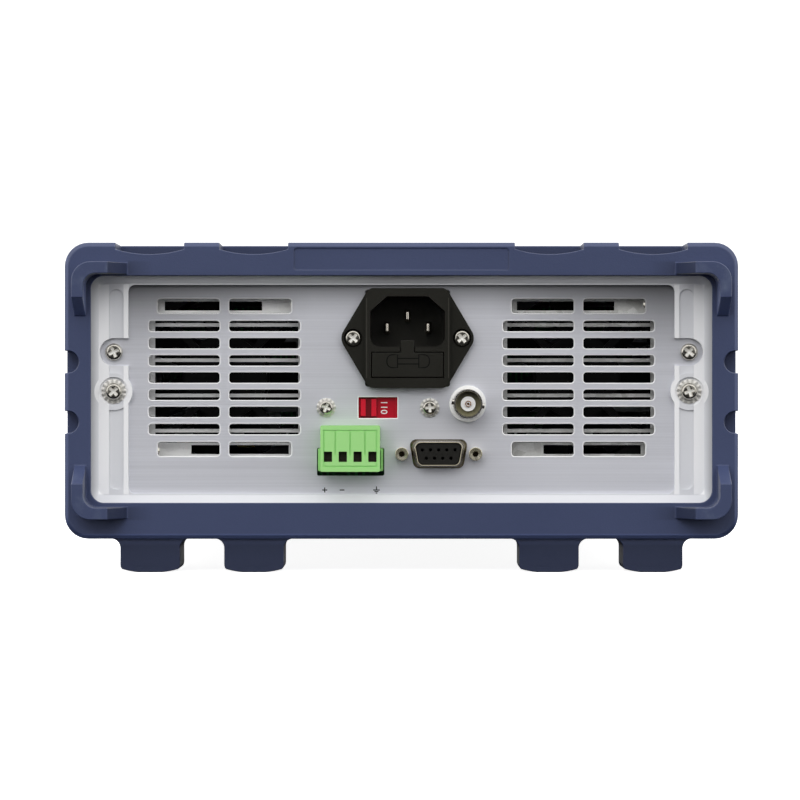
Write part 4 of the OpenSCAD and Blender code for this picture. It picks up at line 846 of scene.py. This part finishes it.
# %% Gold sleeve and dull bore
COAX_U, COAX_V, BORE_R, BORE_BLUR, CUP_SHADE = 22.5, -4.9, 4.32, 0.03, (-2.5, 3.0)
sleeve_radii = [0, 0.42, 0.5, 0.66, 0.92, 1.04, 1.08, 1.08, 0]
sleeve_levels = [8.7, 8.7, 9.66, 9.8, 9.82, 9.76, 9.6, 8.6, 8.6]
gold = brushed("contact_gold", paint(150, 98, 40), 0.50, DRAWN, 0.002, 0.10, Metallic=0.9)
sleeve_part = put(lathe(sleeve_radii, sleeve_levels, 48), COAX_U, COAX_V)
add_piece("coax_sleeve", [sleeve_part], ROOT, "contact_metal", gold)


def cup_shade(start):
    """Shade of the rim inside the cup: none in the lower part, more and more towards the top."""
    return 0.7 * (axis_of(start, 2) - (mid_z + COAX_V * MM)).fade(*CUP_SHADE)


cup_radii, cup_levels = [2.45, 3.4, 4.25, 4.25, 2.45, 2.45], [7.7, 7.5, 7.7, 6.6, 6.6, 7.7]
# the cup's dark olive is painted shade and painted dark reflection inside the jack, with more painted shade
# towards its top
cup_olive = brushed("jack_cup_olive", paint(138, 133, 102), 0.50, MATT, 0.004, 0.12, cup_shade, Metallic=0.1)
add_piece("coax_cup", [put(lathe(cup_radii, cup_levels), COAX_U, COAX_V)], ROOT, "nickel", cup_olive)


def bore_build(start):
    """Painted shade: dark olive within a radius of the jack's axis, bright plate beyond; the radius is a root
    of squares.
    """
    across, up = axis_of(start, 0) + COAX_U * MM, axis_of(start, 2) - (mid_z + COAX_V * MM)
    outside = ((across * across + up * up) ** 0.5).fade(BORE_R - BORE_BLUR, BORE_R + BORE_BLUR)
    haze = grain(start, 700.0)
    bore_shade = haze.mix(paint(102, 97, 74), paint(128, 122, 97))
    bright = haze.mix(paint(196, 192, 184), paint(214, 211, 204))
    return {
        "Base Color": outside.mix(bore_shade, bright),
        "Roughness": 0.46 - 0.22 * outside + 0.06 * haze,
        "Metallic": 0.55 + 0.45 * outside,
    }


soft["coax_shell"].data.materials[0] = finish("jack_shell_plate", bore_build)
print("points of sleeve and cup profiles:", len(sleeve_radii), len(cup_radii))

# %% [markdown]
# ## Strokes: marks of even width
# Printed marks and moulded symbols are lines of even width. They could be drawn in an image, but an image
# blurs near the lens. A stroke is a small rectangle carried along a path instead, and it stands only a few
# hundredths of a millimetre above its face.

# %% Stroke maker and the marks of the rear face
def stroke(path, width, high, low=0.0, closed=False):
    """A rectangle along a path of x, y points: sides at plus and minus half the width, from low to high."""
    line = np.asarray(path, float)
    if closed:
        line = np.concatenate([line, line[:1]])
        steps = np.roll(line[:-1], -1, axis=0) - np.roll(line[:-1], 1, axis=0)
        ahead = np.concatenate([steps, steps[:1]])
    else:
        ahead = np.gradient(line, axis=0)
    ahead /= np.linalg.norm(ahead, axis=1, keepdims=True)
    left = np.column_stack([-ahead[:, 1], ahead[:, 0]]) * width / 2
    sides = [(line - left, high), (line + left, high), (line + left, low), (line - left, low)]
    grid = np.stack([np.column_stack([side, np.full(len(line), level)]) for side, level in sides], axis=1)
    faces = grid_faces(len(line), 4)
    if not closed:
        last = 4 * (len(line) - 1)
        faces = np.concatenate([faces, [[0, 1, 2, 3], [last + 3, last + 2, last + 1, last]]])
    return grid.reshape(-1, 3), faces


def arc(centre, radius, start, end, steps=40):
    """Points on a circle from one angle to another, in degrees."""
    a = np.radians(np.linspace(start, end, steps))
    return np.asarray(centre, float) + radius * np.column_stack([np.cos(a), np.sin(a)])


INK, MARK_WIDTH, MARK_V = 0.02, 0.36, -34.2
earth = [[(0, 1.1), (0, -0.1)], [(-1.1, -0.1), (1.1, -0.1)], [(-0.66, -0.62), (0.66, -0.62)],
         [(-0.28, -1.14), (0.28, -1.14)]]
plus = [[(-0.84, 0), (0.84, 0)], [(0, -0.84), (0, 0.84)]]
minus = [[(-0.8, 0), (0.8, 0)]]
mark_places = [(plus, -26.1, MARK_V), (minus, -20.2, MARK_V), (earth, -8.5, MARK_V + 0.1)]
mark_parts = [put(stroke(line, MARK_WIDTH, INK), u, v) for lines, u, v in mark_places for line in lines]
add_piece("panel_marks", mark_parts, ROOT, "black_plastic", ink_dark)

LINE_WIDTH, LINE_SUNK, FUSE_HIGH = 0.34, -0.1, 0.04
DRAWER_FRONT, FUSE_MARK_U, FUSE_MARK_V, FUSE_HALF = 4.2, 0.2, -7.85, 3.6
cap_line = np.concatenate([[(FUSE_HALF, 2.2), (FUSE_HALF, -2.2)], arc((5.3, -0.3), 1.9, -90, 0, 12),
                           arc((5.3, 0.3), 1.9, 0, 90, 12)])
fuse_lines = [stroke(cap_line * (side, 1), LINE_WIDTH, FUSE_HIGH, LINE_SUNK, closed=True) for side in (-1, 1)]
fuse_lines += [stroke([(-FUSE_HALF, rise), (FUSE_HALF, rise)], LINE_WIDTH, FUSE_HIGH, LINE_SUNK)
               for rise in (0.95, -0.95)]
fuse_parts = [put(line, INLET_U + FUSE_MARK_U, INLET_V + FUSE_MARK_V, DRAWER_FRONT) for line in fuse_lines]
add_piece("fuse_symbol", fuse_parts, body_of["fuse_drawer"], "inlet_plastic", ink_black)

# thin lighter strokes along the sides of the inlet block: a painted highlight of its rounded edges
INLET_EDGE_U, INLET_EDGE_V, INLET_FRONT = 13.9, 13.6, 4.4
edge_line = stroke([(0, -INLET_EDGE_V), (0, INLET_EDGE_V)], LINE_WIDTH, INK, LINE_SUNK)
edge_parts = [put(edge_line, INLET_U + side * INLET_EDGE_U, INLET_V, INLET_FRONT) for side in (-1, 1)]
edge_highlight = moulded("inlet_edge_highlight", paint(56, 54, 48), 0.34, 0.35, 0.010, 0.12)
add_piece("inlet_edge_lines", edge_parts, ROOT, "inlet_plastic", edge_highlight)
print("strokes of marks, fuse symbol and edges:", len(mark_parts), len(fuse_lines), len(edge_parts))

# %% [markdown]
# ## Numbers on the selector and the keys
# The selector shows its voltage as a moulded number, and the keys of the front carry plain numbers. Drawing
# figures point by point is slow and looks clumsy. A text object gives good figures: it is made a mesh at
# once, and only then are its points moved onto the face, so that no object keeps a place of its own.

# %% Figures as meshes
def figures(words, height, high, turn=0.0, bold=0.0):
    """A word of figures, grown by bold, centred and turned in degrees: points in millimetres, triangles."""
    curve = bpy.data.curves.new("figures", "FONT")
    curve.body = words
    curve.extrude = 0.5
    curve.offset = bold
    curve.resolution_u = 4
    holder = new_object("figures", curve)
    mesh = bpy.data.meshes.new_from_object(holder.evaluated_get(bpy.context.evaluated_depsgraph_get()))
    mesh.calc_loop_triangles()
    points = np.array([tuple(vertex.co) for vertex in mesh.vertices])
    faces = np.array([tuple(triangle.vertices) for triangle in mesh.loop_triangles])
    bpy.data.objects.remove(holder)
    bpy.data.meshes.remove(mesh)
    low, top = points.min(axis=0), points.max(axis=0)
    points = (points - (low + top) / 2) * (height / (top[1] - low[1]))
    points[:, 2] = np.where(points[:, 2] > 0, high, 0.0)
    c, s = math.cos(math.radians(turn)), math.sin(math.radians(turn))
    return points @ np.array([[c, s, 0], [-s, c, 0], [0, 0, 1]]), faces


def slider_build(start):
    """Red plastic with painted shade in the groove: the tone follows the depth below the face."""
    groove = (axis_of(start, 1) - rear_y).fade(*GROOVE)
    fine = grain(start, 1500.0, detail=2.0)
    red = fine.mix(paint(200, 4, 38), paint(224, 10, 46))
    return {
        "Base Color": groove.mix(red, paint(112, 1, 18)),
        "Roughness": 0.32 + 0.12 * fine,
    }


GROOVE, NUMBER_PLACE = (-0.6, -0.9), (-5.9, -6.35, -2.3)
NUMBER_SIZE, NUMBER_HIGH, NUMBER_TURN, NUMBER_BOLD = 2.25, 0.03, -90, 0.006
slider_red = finish("slider_red_plastic", slider_build, Specular_IOR_Level=0.35)
soft["selector_slider"].data.materials[0] = slider_red
number_part = put(figures("110", NUMBER_SIZE, NUMBER_HIGH, NUMBER_TURN, NUMBER_BOLD), *NUMBER_PLACE)
add_piece("selector_number", [number_part], ROOT, "white_plastic", ink_white)
print("selector number triangles:", len(number_part[1]))

# %% [markdown]
# ## Signs on the front
# Keys, knob and power button carry white signs, printed or moulded in a second colour. They could be cut
# into the solids, but figures and strokes are at hand already. Each sign rides on the body of its own part,
# so that it moves when the key is pressed or the knob turns.

# %% Key legends, knob pointer and power symbol
def on_node(part, node, high=0.0):
    """The part moved to the middle of a front solid, on its outermost plane."""
    low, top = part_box(node)
    middle = ((low.x + top.x) / 2, low.y, (low.z + top.z) / 2)
    return on_face(np.asarray(part[0]) + (0, 0, high), middle, (1, 0, 0), (0, 0, 1)), part[1]


def add_sign(name, parts, node):
    """White strokes or figures on a front solid, which ride on its body."""
    add_piece(name, [on_node(part, node) for part in parts], body_of[node], "white_plastic", ink_white)


ARROW_WIDTH, POINTER_WIDTH, POWER_WIDTH, DOT_R, KEY_FIGURE = 0.42, 1.3, 0.5, 0.42, 3.0
enter_arrow = [stroke([(1.5, 1.2), (1.5, -0.6), (-1.3, -0.6)], ARROW_WIDTH, INK),
               stroke([(-0.6, 0.1), (-1.4, -0.6), (-0.6, -1.3)], ARROW_WIDTH, INK)]
dot = [lathe([0, DOT_R, DOT_R, 0], [INK, INK, 0, 0], 24)]
legends = {"key_" + figure: [figures(figure, KEY_FIGURE, INK)] for figure in "1234567890"}
legends.update({"key_point": dot, "key_enter": enter_arrow})
for node_name, parts in legends.items():
    add_sign(node_name + "_legend", parts, node_name)
add_sign("knob_pointer", [stroke([(0, 6.5), (0, 12.2)], POINTER_WIDTH, INK)], "knob")
power_lines = [arc((0, -0.2), 2.3, 122, 418), [(0, 0.2), (0, 2.7)]]
add_sign("power_symbol", [stroke(line, POWER_WIDTH, INK) for line in power_lines], "power_button")
print("legends:", len(legends), "pointer and power symbol added")

# %% [markdown]
# ## Lit figures of the display
# Behind the smoked lens a segment display shows two readings. Each figure is seven bars, some lit. The bars
# are strokes again, slanted a little as such displays are, and their finish sends out light of its own, so
# they stay readable against the dark lens.

# %% Segment figures
SEGMENTS = {"0": "abcdef", "1": "bc", "2": "abged", "5": "afgcd"}
BARS = {"a": [(0.12, 1), (0.88, 1)], "b": [(1, 0.93), (1, 0.57)], "c": [(1, 0.43), (1, 0.07)],
        "d": [(0.12, 0), (0.88, 0)], "e": [(0, 0.43), (0, 0.07)], "f": [(0, 0.93), (0, 0.57)],
        "g": [(0.12, 0.5), (0.88, 0.5)]}


READING_LEFT, UPPER_BASE, LOWER_BASE, LENS_CLEAR = -30, 3.0, -13.0, 0.005
FIGURE_SIZE, PITCH, SLANT, BAR_WIDTH = (7.0, 11.5), 11.5, 0.10, 1.05
POINT_FROM, POINT_TO, POINT_WIDTH = -3.24, -2.24, 1.0


def reading(words, base):
    """The bars of all figures of a reading above its base line; a point takes no place of its own."""
    parts = []
    x = READING_LEFT
    for sign in words:
        if sign == ".":
            parts.append(stroke([(x + POINT_FROM, base), (x + POINT_TO, base)], POINT_WIDTH, INK))
            continue
        for bar in SEGMENTS[sign]:
            line = np.array(BARS[bar]) * FIGURE_SIZE
            line[:, 0] += x + SLANT * line[:, 1]
            parts.append(stroke(line + (0, base), BAR_WIDTH, INK))
        x += PITCH
    return parts


readings = reading("12.000", UPPER_BASE) + reading("01.500", LOWER_BASE)
lit_parts = [on_node(part, "display_window", LENS_CLEAR) for part in readings]
add_piece("display_figures", lit_parts, ROOT, "display_blue", glow)
print("lit bars:", len(readings))

# %% [markdown]
# ## Camera at the photograph's place
# The photographer stood level with the middle of the panel and far back, so the sides hide behind the rear
# boot. A short lens from close by would show them. A long lens at that distance gives the same picture, and
# the field is chosen so that the boot fills as much of the frame.

# %% Camera
IMAGE_FIELD, CAMERA_BACK, CAMERA_SIDE, CAMERA_BELOW = 0.272, 1.17, 0.0005, 0.0036
camera_data = bpy.data.cameras.new("photo_camera")
camera_data.sensor_width = 36.0
camera_data.lens = camera_data.sensor_width * CAMERA_BACK / IMAGE_FIELD
camera = new_object("photo_camera", camera_data)
camera.location = (CAMERA_SIDE, rear_y + CAMERA_BACK, mid_z - CAMERA_BELOW)
camera.rotation_euler = (math.pi / 2, 0.0, math.pi)
bpy.context.scene.camera = camera
print("lens in mm:", round(camera_data.lens, 1))

# %% [markdown]
# ## Floor and dome
# The instrument was lit by a huge white ceiling: faces that look up are bright, faces that look down are
# dark, and no shadow has an edge. Many lamps could do that, but a dome that is white above the horizon and
# dim below does it in one, with a weak lamp at each end to fill. Flat metal mirrors what lies behind the
# camera, so a dark card stands there, and neither the lamps nor the floor show in reflections.

# %% Floor, dome and soft lights
def floor_build(start):
    """Pale studio floor: a very faint drift of tone and gloss."""
    drift = grain(start, 3.0)
    return {
        "Base Color": drift.mix(paint(246, 246, 246), paint(250, 250, 250)),
        "Roughness": 0.85 + 0.1 * drift,
    }


FLOOR_RADIUS, FLOOR_GLOW, WHITE = 14.0, 0.9, (1.0, 1.0, 1.0, 1.0)
floor_rings = FLOOR_RADIUS * np.linspace(0, 1, 12) ** 2
floor = add_mesh("studio_floor", [lathe(floor_rings, 0 * floor_rings, 96)])
floor.data.materials.append(finish("studio_floor_paint", floor_build, Emission_Color=WHITE,
                                   Emission_Strength=FLOOR_GLOW))
floor.visible_diffuse = False
floor.visible_glossy = False

DOME_LIGHT, DOME_BELOW = 1.3, (0.015, 0.015, 0.016, 1.0)
world = bpy.data.worlds.new("studio_dome")
world.use_nodes = True
sky = Wire(world.node_tree)
aim_up = sky.node("ShaderNodeSeparateXYZ", {}, {0: sky.node("ShaderNodeTexCoord", out="Generated")}, out=2)
above = aim_up.spread(-0.05, 0.0)
backdrop = world.node_tree.nodes["Background"]
backdrop.inputs["Strength"].default_value = DOME_LIGHT
world.node_tree.links.new(above.mix(DOME_BELOW, WHITE).socket, backdrop.inputs["Color"])
bpy.context.scene.world = world
bpy.context.scene.view_settings.view_transform = "Standard"

CARD_BACK, CARD_RADIUS = 1700.0, 680.0
card_rings = CARD_RADIUS * np.linspace(0, 1, 6)
card = add_mesh("dark_card", [put(lathe(card_rings, 0 * card_rings, 64), 0, 0, CARD_BACK)])
card.data.materials.append(moulded("card_cloth", paint(44, 44, 46), 0.9, 2.0, 0.1, 0.2))
card.visible_camera = False
card.visible_diffuse = False

FILL_ACROSS, FILL_AWAY, FILL_UP = 0.3, 1.6, 0.8
FILL_TARGET, FILL_SIZE, FILL_POWER = (0.0, 0.0, 0.06), 0.6, 4.6
for name, end in (("rear_fill", 1), ("front_fill", -1)):
    light = bpy.data.lights.new(name, "AREA")
    light.size = FILL_SIZE
    light.energy = FILL_POWER
    lamp = new_object(name, light)
    lamp.location = (end * FILL_ACROSS, end * FILL_AWAY, FILL_UP)
    aim = np.subtract(FILL_TARGET, lamp.location)
    lamp.rotation_euler = (math.acos(-aim[2] / np.linalg.norm(aim)), 0.0, math.atan2(-aim[0], aim[1]))
    lamp.visible_camera = False
    lamp.visible_glossy = False
print("floor, dome and lights are ready")
